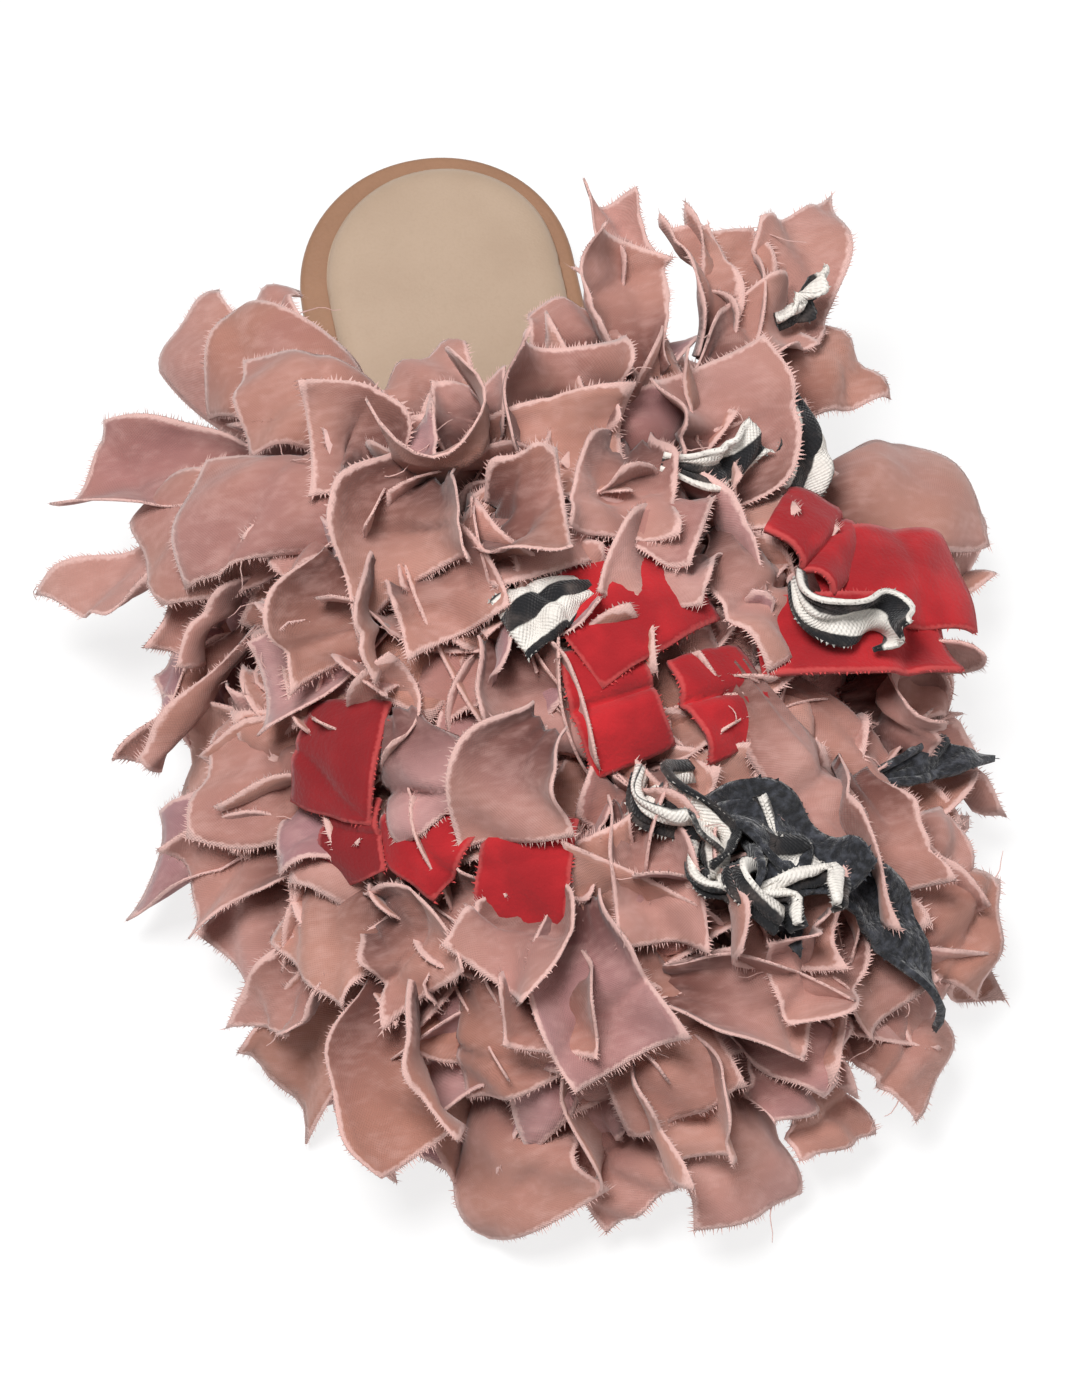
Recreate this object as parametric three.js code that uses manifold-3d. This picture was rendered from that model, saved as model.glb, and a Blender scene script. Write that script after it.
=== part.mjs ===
// A women's pom pom mule for the right foot: a flat backless shoe whose closed vamp is covered with
// rag pompoms, each a knot of torn cotton strips that fan out like petals.
// Millimetres. +Y points to the toe, +X to the outer side of the foot and +Z up. The origin is on
// the floor, under the middle of the heel. Inside the shoe group, y is counted from the heel's back.
import * as THREE from 'three';
import { mergeVertices } from 'three/addons/utils/BufferGeometryUtils.js';
import Module from 'manifold-3d';

// Driving dimensions
const SOLE_LENGTH = 250;
const BALL_WIDTH = 90;
const HEEL_CENTRE = 36; // from the heel's back to the origin
const CLEARANCE = 0.3; // between pieces that meet

const HEEL_HEIGHT = 8; // the low heel, in one with the outsole
const HEEL_LENGTH = 62;
const HEEL_BREAST = 5; // how far the heel's front face curves in
const HEEL_TAPER = 0.6; // how far the heel's side leans in, down to the floor
const OUTSOLE_THICKNESS = 3.5;
const OUTSOLE_CHAMFER = 0.8; // along the outsole's lower edge
const OUTSOLE_INSET = 1; // from the footbed's edge to the outsole's
const TOE_SPRING = 6;
const FOOTBED_THICKNESS = 5.5;
const FOOTBED_ROLL = 1.2; // rounding of the footbed's leather edge
const RIM = 5; // the strip of footbed left bare round the insole pad
const PAD_THICKNESS = 4;
const PAD_SHIFT = 1.2; // how far the pad sits to the inner side, at the heel
const PAD_STRAIGHT = { from: 75, to: 110 }; // where along the sole that shift fades out

const UPPER_WALL = 2.2;
const FEATHER_TRIM = 1; // trimmed off the upper's lower edge, so that it meets the footbed
const UPPER_INSET = 0.8; // from the footbed's edge to the upper's outer face
const COLLAR_HEIGHT = 50; // crest of the collar above the footbed
const TOE_HEIGHT = 24; // crest above the footbed, over the toes
const FOOT_ROOM = 31; // kept free of strips behind the collar, above the footbed at the heel

const STRIP_THICKNESS = 1.6; // a strip and its folds, as one solid petal
const STRIP_WIDTH = 33;
const STRIP_LENGTH = 66; // from the knot to the cut end
const KNOT_RADIUS = 12;
const KNOT_HEIGHT = 9; // centre of a knot above the vamp
const KNOT_SEAT = 9; // where a strip starts inside the knot, from its centre
const KNOT_PINCH = 11; // width of a strip where it is tied
const FLOOR_GAP = 1.5; // the lowest strip ends hang clear of the floor
const FLOOR_CRUMPLE = 0.35; // how much less far a strip reaches that points straight to the floor
const POMPOM_GAP = 0.6; // between neighbouring pompoms

// Plan of the sole: shares of its length, and of the ball width. The centre shifts to the inner side.
const PLAN = [
  { at: 0.0, shift: 0.016, half: 0.348 },
  { at: 0.15, shift: 0.004, half: 0.35 },
  { at: 0.3, shift: -0.002, half: 0.346 },
  { at: 0.45, shift: -0.02, half: 0.366 },
  { at: 0.58, shift: -0.01, half: 0.44 },
  { at: 0.7, shift: 0.02, half: 0.5 },
  { at: 0.82, shift: 0.05, half: 0.48 },
  { at: 0.92, shift: 0.085, half: 0.42 },
  { at: 1.0, shift: 0.11, half: 0.36 },
];
const HEEL_ROUND = { reach: 0.133, power: 2.05 }; // how far the round ends run, as shares of length
const TOE_ROUND = { reach: 0.2, power: 2.2 };

// Side view of the seat that the footbed lies on: shares of the heel's height and of the toe spring.
const SEAT = [
  { at: 0.0, heel: 1, spring: 0 },
  { at: 0.26, heel: 1, spring: 0 },
  { at: 0.36, heel: 0.78, spring: 0 },
  { at: 0.47, heel: 0.25, spring: 0 },
  { at: 0.56, heel: 0, spring: 0 },
  { at: 0.8, heel: 0, spring: 0 },
  { at: 0.9, heel: 0, spring: 0.35 },
  { at: 1.0, heel: 0, spring: 1 },
];

// Rounded side of the insole pad from the bottom up, as shares of its thickness.
const PAD_SIDE = [
  { inset: 0.15, rise: 0 },
  { inset: 0, rise: 0.35 },
  { inset: 0.35, rise: 0.8 },
  { inset: 1.75, rise: 1 },
];

// Crest of the vamp from the collar to its front end. Rise 1 is the collar's height, 0 the toe's.
const CREST = [
  { at: 0.0, rise: 1 },
  { at: 0.25, rise: 0.84 },
  { at: 0.5, rise: 0.56 },
  { at: 0.75, rise: 0.26 },
  { at: 1.0, rise: 0 },
];
const COLLAR = { crest: 0.46, outer: 0.49, inner: 0.475 }; // where the collar runs, share of length
const CREST_END = 0.86;
const CREST_SHIFT = 0.04; // to the inner side, share of the ball width

// Pompoms: where each is sewn on the vamp. Along runs from the collar to the toe, across from the
// outer edge (-1) over the crest (0) to the inner edge (1). Reach is a share of the strip length,
// upright counts the upright strips, crown is what they have of that reach, and turn is where the
// first strip points. At along 1 the two sides meet in the toe's middle line.
const POMPOMS = [
  { name: 'collar_outer', along: 0.04, across: -0.7, reach: 1.14, crown: 1.02, turn: 58, upright: 5 },
  { name: 'collar_crest_outer', along: 0.05, across: -0.22, reach: 0.98, crown: 0.62, turn: 75, upright: 3 },
  { name: 'collar_crest_inner', along: 0.05, across: 0.24, reach: 0.92, crown: 0.68, turn: 10, upright: 3 },
  { name: 'collar_inner', along: 0.04, across: 0.7, reach: 1.12, crown: 1.18, turn: 40, upright: 5 },
  { name: 'instep_outer', along: 0.31, across: -0.66, reach: 0.93, crown: 0.8, turn: 0, upright: 3 },
  { name: 'instep', along: 0.33, across: 0.0, reach: 0.76, crown: 0.7, turn: 30, upright: 3 },
  { name: 'instep_inner', along: 0.31, across: 0.66, reach: 1.0, crown: 0.86, turn: 15, upright: 3 },
  { name: 'ball_outer', along: 0.55, across: -0.6, reach: 0.9, crown: 0.74, turn: 40, upright: 3 },
  { name: 'ball', along: 0.62, across: 0.02, reach: 0.72, crown: 0.74, turn: 0, upright: 3 },
  { name: 'ball_inner', along: 0.55, across: 0.62, reach: 0.88, crown: 0.74, turn: 25, upright: 3 },
  { name: 'toe_outer', along: 0.79, across: -0.5, reach: 0.7, crown: 0.66, turn: 10, upright: 3 },
  { name: 'toe', along: 1.0, across: 0.5, reach: 0.56, crown: 0.62, turn: 0, upright: 3 },
  { name: 'toe_inner', along: 0.79, across: 0.52, reach: 0.76, crown: 0.66, turn: 35, upright: 3 },
];

// The strips of one pompom, in rings round its knot. Lean is the angle from the vamp's normal at the
// knot and at the cut end. Open is the fold across the strip at the cut end, in degrees of arc.
const STRIP_RINGS = [
  { upright: false, leanKnot: 74, leanEnd: 98, open: 76, steps: 3 },
  { upright: true, leanKnot: 32, leanEnd: 56, open: 96, steps: 2 },
];
const LYING_STRIPS = 6; // in each pompom's lower ring
const STRIP_FOLDS = 2;
const STRIP_CHANGE = { spread: 0.35, fold: 0.8, length: 0.24, lean: 24 }; // from strip to strip
const KNOT_FOLD = 110; // the fold across a strip where it leaves its knot, in degrees of arc

const wasm = await Module();
wasm.setup();

const lerp = THREE.MathUtils.lerp;
const radians = THREE.MathUtils.degToRad;

// Value of one column of a table at a share of the way along, on a smooth curve through its rows.
function along(rows, column, at) {
  const last = rows.length - 1;
  let i = 0;
  while (i < last - 1 && at > rows[i + 1].at) i += 1;
  const value = (k) => rows[Math.min(Math.max(k, 0), last)][column];
  const place = (k) => rows[Math.min(Math.max(k, 0), last)].at;
  const span = place(i + 1) - place(i);
  const t = Math.min(Math.max((at - place(i)) / span, 0), 1);
  const slope = (k) => {
    const before = value(k) - value(k - 1);
    const after = value(k + 1) - value(k);
    if (before * after <= 0) return 0; // flat stretches stay flat
    return (value(k + 1) - value(k - 1)) / (place(k + 1) - place(k - 1));
  };
  const a = value(i);
  const b = value(i + 1);
  const t2 = t * t;
  const t3 = t2 * t;
  return (
    a * (2 * t3 - 3 * t2 + 1) +
    b * (3 * t2 - 2 * t3) +
    slope(i) * span * (t3 - 2 * t2 + t) +
    slope(i + 1) * span * (t3 - t2)
  );
}

// A closed solid from shared vertices and triangles.
function solidFrom(points, faces) {
  const geometry = new THREE.BufferGeometry().setFromPoints(points);
  geometry.setIndex(faces.flat());
  const merged = mergeVertices(geometry, 1e-4);
  const index = merged.index.array;
  const kept = [];
  for (let i = 0; i < index.length; i += 3) {
    const [a, b, c] = [index[i], index[i + 1], index[i + 2]];
    if (a !== b && b !== c && c !== a) kept.push(a, b, c);
  }
  const vertProperties = new Float32Array(merged.attributes.position.array);
  const mesh = new wasm.Mesh({ numProp: 3, vertProperties, triVerts: new Uint32Array(kept) });
  return new wasm.Manifold(mesh);
}

// A closed solid from a three.js geometry.
function solidOf(geometry) {
  const points = [];
  const position = geometry.attributes.position;
  for (let i = 0; i < position.count; i += 1) {
    points.push(new THREE.Vector3().fromBufferAttribute(position, i));
  }
  const order = geometry.index ? Array.from(geometry.index.array) : points.map((_, i) => i);
  return solidFrom(points, [order]);
}

function largestBody(solid) {
  const bodies = solid.decompose();
  bodies.sort((a, b) => b.volume() - a.volume());
  return bodies[0];
}

function meshOf(solid, name, material) {
  const { vertProperties, triVerts } = solid.getMesh();
  const geometry = new THREE.BufferGeometry();
  geometry.setAttribute('position', new THREE.BufferAttribute(new Float32Array(vertProperties), 3));
  geometry.setIndex(new THREE.BufferAttribute(new Uint32Array(triVerts), 1));
  geometry.computeVertexNormals();
  const mesh = new THREE.Mesh(geometry, material);
  mesh.name = name;
  return mesh;
}

// Centre and half width of the sole's plan at a share of its length.
function planAt(at) {
  const heel = Math.max(0, 1 - at / HEEL_ROUND.reach);
  const toe = Math.max(0, 1 - (1 - at) / TOE_ROUND.reach);
  const heelRound = (1 - heel ** HEEL_ROUND.power) ** (1 / HEEL_ROUND.power);
  const toeRound = (1 - toe ** TOE_ROUND.power) ** (1 / TOE_ROUND.power);
  return {
    centre: -along(PLAN, 'shift', at) * BALL_WIDTH,
    half: along(PLAN, 'half', at) * BALL_WIDTH * heelRound * toeRound,
  };
}

const PLAN_STEPS = 18;

// The sole's outline as a closed ring, moved inwards by an inset: heel point, inner side, toe point,
// outer side. Points i and 2n - i lie across from each other.
function planRing(inset) {
  const sides = { inner: [], outer: [] };
  for (let i = 0; i <= PLAN_STEPS; i += 1) {
    const at = (1 - Math.cos((Math.PI * i) / PLAN_STEPS)) / 2;
    const { centre, half } = planAt(at);
    sides.inner.push(new THREE.Vector2(centre - half, at * SOLE_LENGTH));
    sides.outer.push(new THREE.Vector2(centre + half, at * SOLE_LENGTH));
  }
  const ring = [...sides.inner, ...sides.outer.slice(1, -1).reverse()];
  return ring.map((point, i) => {
    const next = ring[(i + 1) % ring.length];
    const before = ring[(i + ring.length - 1) % ring.length];
    const tangent = next.clone().sub(before).normalize();
    return point.clone().add(new THREE.Vector2(tangent.y, -tangent.x).multiplyScalar(inset));
  });
}

// A plate with the sole's plan: rings from the bottom up, each with an inset and a height by place.
function plate(levels) {
  const points = [];
  for (const { inset, height } of levels) {
    for (const p of planRing(inset)) {
      const at = THREE.MathUtils.clamp(p.y / SOLE_LENGTH, 0, 1);
      points.push(new THREE.Vector3(p.x, p.y, height(at)));
    }
  }
  const count = 2 * PLAN_STEPS;
  const faces = [];
  for (let level = 0; level < levels.length - 1; level += 1) {
    for (let i = 0; i < count; i += 1) {
      const a = level * count + i;
      const b = level * count + ((i + 1) % count);
      faces.push([a, a + count, b], [b, a + count, b + count]);
    }
  }
  const top = (levels.length - 1) * count;
  for (let i = 0; i < PLAN_STEPS; i += 1) {
    const inner = [i, i + 1];
    const outer = [(count - i) % count, count - i - 1];
    faces.push([inner[0], inner[1], outer[1]], [inner[0], outer[1], outer[0]]);
    faces.push(
      [top + inner[0], top + outer[1], top + inner[1]],
      [top + inner[0], top + outer[0], top + outer[1]],
    );
  }
  return solidFrom(points, faces);
}

// Heights of the stacked layers
const seatHeight = (at) =>
  OUTSOLE_THICKNESS +
  HEEL_HEIGHT * along(SEAT, 'heel', at) +
  TOE_SPRING * along(SEAT, 'spring', at);
const footbedBottom = (at) => seatHeight(at) + CLEARANCE;
const footbedTop = (at) => footbedBottom(at) + FOOTBED_THICKNESS;
const padBottom = (at) => footbedTop(at) + CLEARANCE;

// The outsole with its low heel, in one piece.
function makeOutsole() {
  const underside = (at) => seatHeight(at) - OUTSOLE_THICKNESS;
  const sole = plate([
    { inset: OUTSOLE_INSET + OUTSOLE_CHAMFER, height: underside },
    { inset: OUTSOLE_INSET, height: (at) => underside(at) + OUTSOLE_CHAMFER },
    { inset: OUTSOLE_INSET, height: seatHeight },
  ]);
  const heelInset = OUTSOLE_INSET + OUTSOLE_CHAMFER / 2;
  const block = plate([
    { inset: heelInset + HEEL_TAPER, height: () => 0 },
    { inset: heelInset, height: () => HEEL_HEIGHT + OUTSOLE_THICKNESS / 2 },
  ]);
  // The heel's breast is cut by a wide round bar, so its front face curves in.
  const radius = BALL_WIDTH ** 2 / (8 * HEEL_BREAST) + HEEL_BREAST / 2;
  const bar = new THREE.CylinderGeometry(radius, radius, HEEL_HEIGHT * 3, 180);
  bar.rotateX(Math.PI / 2).translate(0, HEEL_LENGTH - HEEL_BREAST + radius, HEEL_HEIGHT / 2);
  const rest = new THREE.BoxGeometry(2 * radius, SOLE_LENGTH, HEEL_HEIGHT * 3);
  rest.translate(0, HEEL_LENGTH + SOLE_LENGTH / 2, HEEL_HEIGHT / 2);
  return block.subtract(solidOf(bar)).subtract(solidOf(rest)).add(sole);
}

function makeFootbed() {
  const above = (rise) => (at) => footbedBottom(at) + rise;
  return plate([
    { inset: FOOTBED_ROLL, height: above(0) },
    { inset: 0, height: above(FOOTBED_ROLL) },
    { inset: 0, height: above(FOOTBED_THICKNESS - FOOTBED_ROLL) },
    { inset: FOOTBED_ROLL, height: above(FOOTBED_THICKNESS) },
  ]);
}

function makeInsolePad() {
  const pad = plate(
    PAD_SIDE.map(({ inset, rise }) => ({
      inset: RIM + PAD_THICKNESS * inset,
      height: (at) => padBottom(at) + PAD_THICKNESS * rise,
    })),
  );
  return pad.warp((point) => {
    const fade = THREE.MathUtils.smoothstep(point[1], PAD_STRAIGHT.from, PAD_STRAIGHT.to);
    point[0] -= PAD_SHIFT * (1 - fade);
  });
}

// A point of the vamp's surface. Side is -1 on the outer half and 1 on the inner half, along runs
// from the collar to the toe, up from the feather edge to the crest, and depth is into the wall.
function vampPoint(side, share, up, depth) {
  const collar = side < 0 ? COLLAR.outer : COLLAR.inner;
  const inset = UPPER_INSET + depth;
  const tip = 1 - inset / SOLE_LENGTH;
  const footAt = lerp(collar, tip, Math.sin((share * Math.PI) / 2));
  const { centre, half } = planAt(footAt);
  const reach = share < 1 ? Math.max(half - inset, 0) : 0;
  const foot = new THREE.Vector3(centre - side * reach, footAt * SOLE_LENGTH, 0);
  const crestAt = lerp(COLLAR.crest, CREST_END - depth / SOLE_LENGTH, share);
  const shift = lerp(0, CREST_SHIFT * BALL_WIDTH, share);
  const rise = lerp(TOE_HEIGHT, COLLAR_HEIGHT, along(CREST, 'rise', share)) - depth;
  const crest = new THREE.Vector3(planAt(crestAt).centre - shift, crestAt * SOLE_LENGTH, 0);
  const angle = (up * Math.PI) / 2;
  const inward = 1 - Math.cos(angle);
  const point = foot.clone().lerp(crest, inward);
  point.y = lerp(foot.y, crest.y, lerp(Math.sin(angle), inward, share ** 3));
  const base = (at) => footbedTop(Math.min(at, 1)) - FEATHER_TRIM;
  point.z = lerp(base(footAt), base(crestAt) + rise, Math.sin(angle));
  return point;
}

// The vamp's surface by a place across, from the outer edge (-1) over the crest (0) to the inner (1).
function vampAcross(share, across, depth) {
  return vampPoint(across < 0 ? -1 : 1, share, 1 - Math.abs(across), depth);
}

function vampNormal(share, across) {
  const step = 0.02;
  const a = Math.min(share, 1 - step);
  const alongVamp = vampAcross(a + step, across, 0).sub(vampAcross(a - step, across, 0));
  const acrossVamp = vampAcross(a, across + step, 0).sub(vampAcross(a, across - step, 0));
  return alongVamp.cross(acrossVamp).normalize();
}

const VAMP_ROWS = 11;
const VAMP_COLUMNS = 12; // from the outer feather edge to the inner one

function vampGrid(depth) {
  const rows = [];
  for (let i = 0; i <= VAMP_ROWS; i += 1) {
    const row = [];
    for (let j = 0; j <= VAMP_COLUMNS; j += 1) {
      row.push(vampAcross(i / VAMP_ROWS, (2 * j) / VAMP_COLUMNS - 1, depth));
    }
    rows.push(row);
  }
  return rows;
}

// The upper: one wall, open at the collar and underneath.
function makeUpper() {
  const outer = vampGrid(0).flat();
  const inner = vampGrid(UPPER_WALL).flat();
  const width = VAMP_COLUMNS + 1;
  const shift = outer.length;
  const faces = [];
  const quad = (a, b, c, d) => faces.push([a, b, c], [a, c, d]);
  for (let i = 0; i < VAMP_ROWS; i += 1) {
    for (let j = 0; j < VAMP_COLUMNS; j += 1) {
      const a = i * width + j;
      quad(a, a + width, a + width + 1, a + 1);
      quad(shift + a, shift + a + 1, shift + a + width + 1, shift + a + width);
    }
    const left = i * width;
    const right = left + VAMP_COLUMNS;
    quad(left, shift + left, shift + left + width, left + width);
    quad(right, right + width, shift + right + width, shift + right);
  }
  for (let j = 0; j < VAMP_COLUMNS; j += 1) quad(j, j + 1, shift + j + 1, shift + j);
  const seat = plate([
    { inset: -UPPER_WALL, height: () => 0 },
    { inset: -UPPER_WALL, height: (at) => footbedTop(at) + CLEARANCE },
  ]);
  return solidFrom([...outer, ...inner], faces).subtract(seat);
}

// What no pompom may enter: the vamp and its inside, the sole, and the way that the foot goes in.
function makeKeepOut() {
  const deep = COLLAR_HEIGHT; // well under the floor
  const rows = vampGrid(-CLEARANCE);
  const points = [];
  for (const row of rows) {
    const foot = [row[0].clone(), row[row.length - 1].clone()];
    foot.forEach((p) => p.setZ(-deep));
    points.push(foot[0], ...row, foot[1]);
  }
  const width = VAMP_COLUMNS + 3;
  const faces = [];
  for (let i = 0; i < VAMP_ROWS; i += 1) {
    for (let j = 0; j < width; j += 1) {
      const a = i * width + j;
      const b = i * width + ((j + 1) % width);
      faces.push([a, a + width, b + width], [a, b + width, b]);
    }
  }
  for (let j = 1; j < width - 1; j += 1) faces.push([0, j, j + 1]);
  const vamp = solidFrom(points, faces);
  const footTop = footbedTop(0) + FOOT_ROOM;
  const sole = plate([
    { inset: -2 * CLEARANCE, height: () => -deep },
    { inset: -2 * CLEARANCE, height: (at) => (at < COLLAR.crest ? footTop : footbedTop(at)) },
  ]);
  return vamp.add(sole);
}

// One strip as a curved plate, from its knot to its cut end. It starts along one lean from the
// normal and bends to another, gathered at the knot and opening out towards the end.
function makeStrip({ centre, normal, heading, length, width, leanKnot, leanEnd, open, steps }) {
  const side = new THREE.Vector3().crossVectors(normal, heading);
  const half = STRIP_THICKNESS / 2;
  const rows = [];
  const spine = centre.clone();
  for (let i = 0; i <= steps; i += 1) {
    const share = i / steps;
    const lean = radians(lerp(leanKnot, leanEnd, share));
    const forward = normal.clone().multiplyScalar(Math.cos(lean));
    forward.addScaledVector(heading, Math.sin(lean));
    const face = new THREE.Vector3().crossVectors(forward, side);
    spine.addScaledVector(forward, i === 0 ? KNOT_SEAT : (length - KNOT_SEAT) / steps);
    const arc = radians(lerp(Math.sign(open) * KNOT_FOLD, open, share));
    const radius = lerp(KNOT_PINCH, width, Math.sqrt(share)) / arc;
    const row = [];
    for (let j = 0; j <= STRIP_FOLDS; j += 1) {
      const turn = arc * (j / STRIP_FOLDS - 0.5);
      const out = side.clone().multiplyScalar(Math.sin(turn)).addScaledVector(face, -Math.cos(turn));
      const hub = spine.clone().addScaledVector(face, radius);
      row.push({ hub, out, radius });
    }
    rows.push(row);
  }
  const layer = (offset) =>
    rows.flat().map(({ hub, out, radius }) => hub.clone().addScaledVector(out, radius + offset));
  const across = STRIP_FOLDS + 1;
  const count = across * (steps + 1);
  const faces = [];
  const quad = (a, b, c, d) => faces.push([a, b, c], [a, c, d]);
  for (let i = 0; i < steps; i += 1) {
    for (let j = 0; j < STRIP_FOLDS; j += 1) {
      const a = i * across + j;
      quad(a, a + 1, a + across + 1, a + across);
      quad(count + a, count + a + across, count + a + across + 1, count + a + 1);
    }
    const left = i * across;
    const right = left + STRIP_FOLDS;
    quad(left, left + across, count + left + across, count + left);
    quad(right, count + right, count + right + across, right + across);
  }
  const last = steps * across;
  for (let j = 0; j < STRIP_FOLDS; j += 1) {
    quad(j, count + j, count + j + 1, j + 1);
    quad(last + j, last + j + 1, count + last + j + 1, count + last + j);
  }
  const solid = solidFrom([...layer(-half), ...layer(half)], faces);
  if (solid.volume() > 0) return solid;
  return solidFrom([...layer(-half), ...layer(half)], faces.map(([a, b, c]) => [a, c, b]));
}

// A steady number from 0 to 1 for each strip of each pompom, and for each part of its change.
function vary(pompom, strip, part) {
  const wave = Math.sin(pompom * 12.9898 + strip * 78.233 + part.length * 37.719) * 43758.5453;
  return wave - Math.floor(wave);
}

function knotPlace({ along: share, across }) {
  const normal = vampNormal(share, across);
  if (normal.z < 0) normal.negate();
  return { normal, centre: vampAcross(share, across, 0).addScaledVector(normal, KNOT_HEIGHT) };
}

// A pompom before it is fitted to its neighbours: a knot, with its strips fused on.
function makePompomBody(pompom, number) {
  const { normal, centre } = knotPlace(pompom);
  const knot = new THREE.OctahedronGeometry(KNOT_RADIUS, 1);
  knot.translate(centre.x, centre.y, centre.z);
  let body = solidOf(knot);
  const start = new THREE.Vector3(0, 1, 0).cross(normal).normalize();
  let strip = 0;
  for (const ring of STRIP_RINGS) {
    const reach = pompom.reach * (ring.upright ? pompom.crown : 1);
    const count = ring.upright ? pompom.upright : LYING_STRIPS;
    for (let i = 0; i < count; i += 1) {
      const change = (part) => STRIP_CHANGE[part] * (vary(number, strip, part) - 0.5);
      const spread = (360 / count) * (i + change('spread'));
      const open = ring.open * (1 + change('fold'));
      const heading = start.clone().applyAxisAngle(normal, radians(pompom.turn + spread));
      const crumple = 1 - FLOOR_CRUMPLE * Math.max(0, -heading.z);
      body = body.add(
        makeStrip({
          centre,
          normal,
          heading,
          length: STRIP_LENGTH * reach * crumple * (1 + change('length')),
          width: STRIP_WIDTH,
          leanKnot: ring.leanKnot,
          leanEnd: ring.leanEnd + change('lean'),
          open: strip % 3 === 2 ? -open : open, // every third strip is folded the other way
          steps: ring.steps,
        }),
      );
      strip += 1;
    }
  }
  return body;
}

// A slab that holds everything past the plane halfway between two knots.
function pastHalfway(from, to) {
  const direction = to.clone().sub(from);
  const middle = from.clone().addScaledVector(direction, 0.5);
  const size = SOLE_LENGTH * 2;
  const slab = new THREE.BoxGeometry(size, size, size);
  slab.translate(0, 0, size / 2 - POMPOM_GAP / 2);
  direction.normalize();
  const turn = new THREE.Quaternion().setFromUnitVectors(new THREE.Vector3(0, 0, 1), direction);
  slab.applyQuaternion(turn).translate(middle.x, middle.y, middle.z);
  return solidOf(slab);
}

function makePompoms() {
  const keepOut = makeKeepOut();
  const floorSlab = new THREE.BoxGeometry(SOLE_LENGTH * 2, SOLE_LENGTH * 3, SOLE_LENGTH);
  floorSlab.translate(0, 0, FLOOR_GAP - SOLE_LENGTH / 2);
  const floor = solidOf(floorSlab);
  const centres = POMPOMS.map((pompom) => knotPlace(pompom).centre);
  return POMPOMS.map((pompom, i) => {
    let body = makePompomBody(pompom, i).subtract(keepOut).subtract(floor);
    centres.forEach((other, j) => {
      if (j !== i) body = body.subtract(pastHalfway(centres[i], other));
    });
    return largestBody(body);
  });
}

const tanLeather = new THREE.MeshStandardMaterial({ color: 0xb08a6e, roughness: 0.55 });
const darkRubber = new THREE.MeshStandardMaterial({ color: 0x8c6f5a, roughness: 0.8 });
const beigeLeather = new THREE.MeshStandardMaterial({ color: 0xb7a189, roughness: 0.5 });
const pinkCanvas = new THREE.MeshStandardMaterial({ color: 0xa97f77, roughness: 0.9 });
const pinkCotton = new THREE.MeshStandardMaterial({ color: 0xb58a82, roughness: 0.95 });

const shoe = new THREE.Group();
shoe.position.y = -HEEL_CENTRE;
shoe.add(
  meshOf(makeOutsole(), 'outsole', darkRubber),
  meshOf(makeFootbed(), 'footbed', tanLeather),
  meshOf(makeInsolePad(), 'insole_pad', beigeLeather),
  meshOf(makeUpper(), 'upper', pinkCanvas),
);
makePompoms().forEach((body, i) => shoe.add(meshOf(body, `pompom_${POMPOMS[i].name}`, pinkCotton)));

const mule = new THREE.Group();
mule.add(shoe);

export default mule;
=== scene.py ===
"""The looks of a pom pom mule: a flat backless shoe whose vamp is buried in rag pompoms.

Lengths are millimetres until a mesh is made. In the shoe's own frame x runs to the outer side of the
foot, y from the heel's back to the toe and z up from the floor.
"""

import logging
import math
from dataclasses import dataclass, field, replace
from enum import Enum
from typing import Any, Sequence

import bpy
import numpy as np
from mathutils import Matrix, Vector


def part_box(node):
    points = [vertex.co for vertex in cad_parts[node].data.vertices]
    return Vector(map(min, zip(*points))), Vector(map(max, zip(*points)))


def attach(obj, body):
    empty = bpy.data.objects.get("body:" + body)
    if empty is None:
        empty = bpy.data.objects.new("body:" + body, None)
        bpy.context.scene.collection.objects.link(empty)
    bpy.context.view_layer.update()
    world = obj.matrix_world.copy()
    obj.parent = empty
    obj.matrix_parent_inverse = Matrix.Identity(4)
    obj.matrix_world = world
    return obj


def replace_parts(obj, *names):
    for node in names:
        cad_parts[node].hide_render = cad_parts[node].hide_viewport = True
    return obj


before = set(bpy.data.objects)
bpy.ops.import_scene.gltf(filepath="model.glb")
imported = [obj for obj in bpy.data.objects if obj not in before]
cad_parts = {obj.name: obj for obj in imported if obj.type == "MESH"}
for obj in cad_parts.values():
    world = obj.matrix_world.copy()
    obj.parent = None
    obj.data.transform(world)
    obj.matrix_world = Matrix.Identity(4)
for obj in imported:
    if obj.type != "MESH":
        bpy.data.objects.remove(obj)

LOG = logging.getLogger("pom_pom_mule")
MM = 0.001
BODY = "root"
PHOTO_SIZE = (1092, 1400)
MIX_FACTOR, MIX_FIRST, MIX_SECOND, MIX_RESULT = 0, 6, 7, 2  # a Mix node's sockets for colours
GOLDEN_TURN = 2.399963  # in radians, which spreads strips evenly round a knot
FIRST_STRIP, FIRST_FILLER, FILLERS_APART = 1000, 500, 50  # numbers that settle what varies


def unit(vectors: np.ndarray) -> np.ndarray:
    """Returns the vectors scaled to length 1 along their last axis."""
    return vectors / np.maximum(np.linalg.norm(vectors, axis=-1, keepdims=True), 1e-9)


def ease(share: np.ndarray) -> np.ndarray:
    """Returns a share from 0 to 1 that starts and ends gently."""
    clipped = np.clip(share, 0.0, 1.0)
    return clipped * clipped * (3.0 - 2.0 * clipped)


def blend(start: Any, end: Any, share: Any) -> Any:
    """Returns the value at a share of the way from start to end."""
    return start + (end - start) * share


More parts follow.
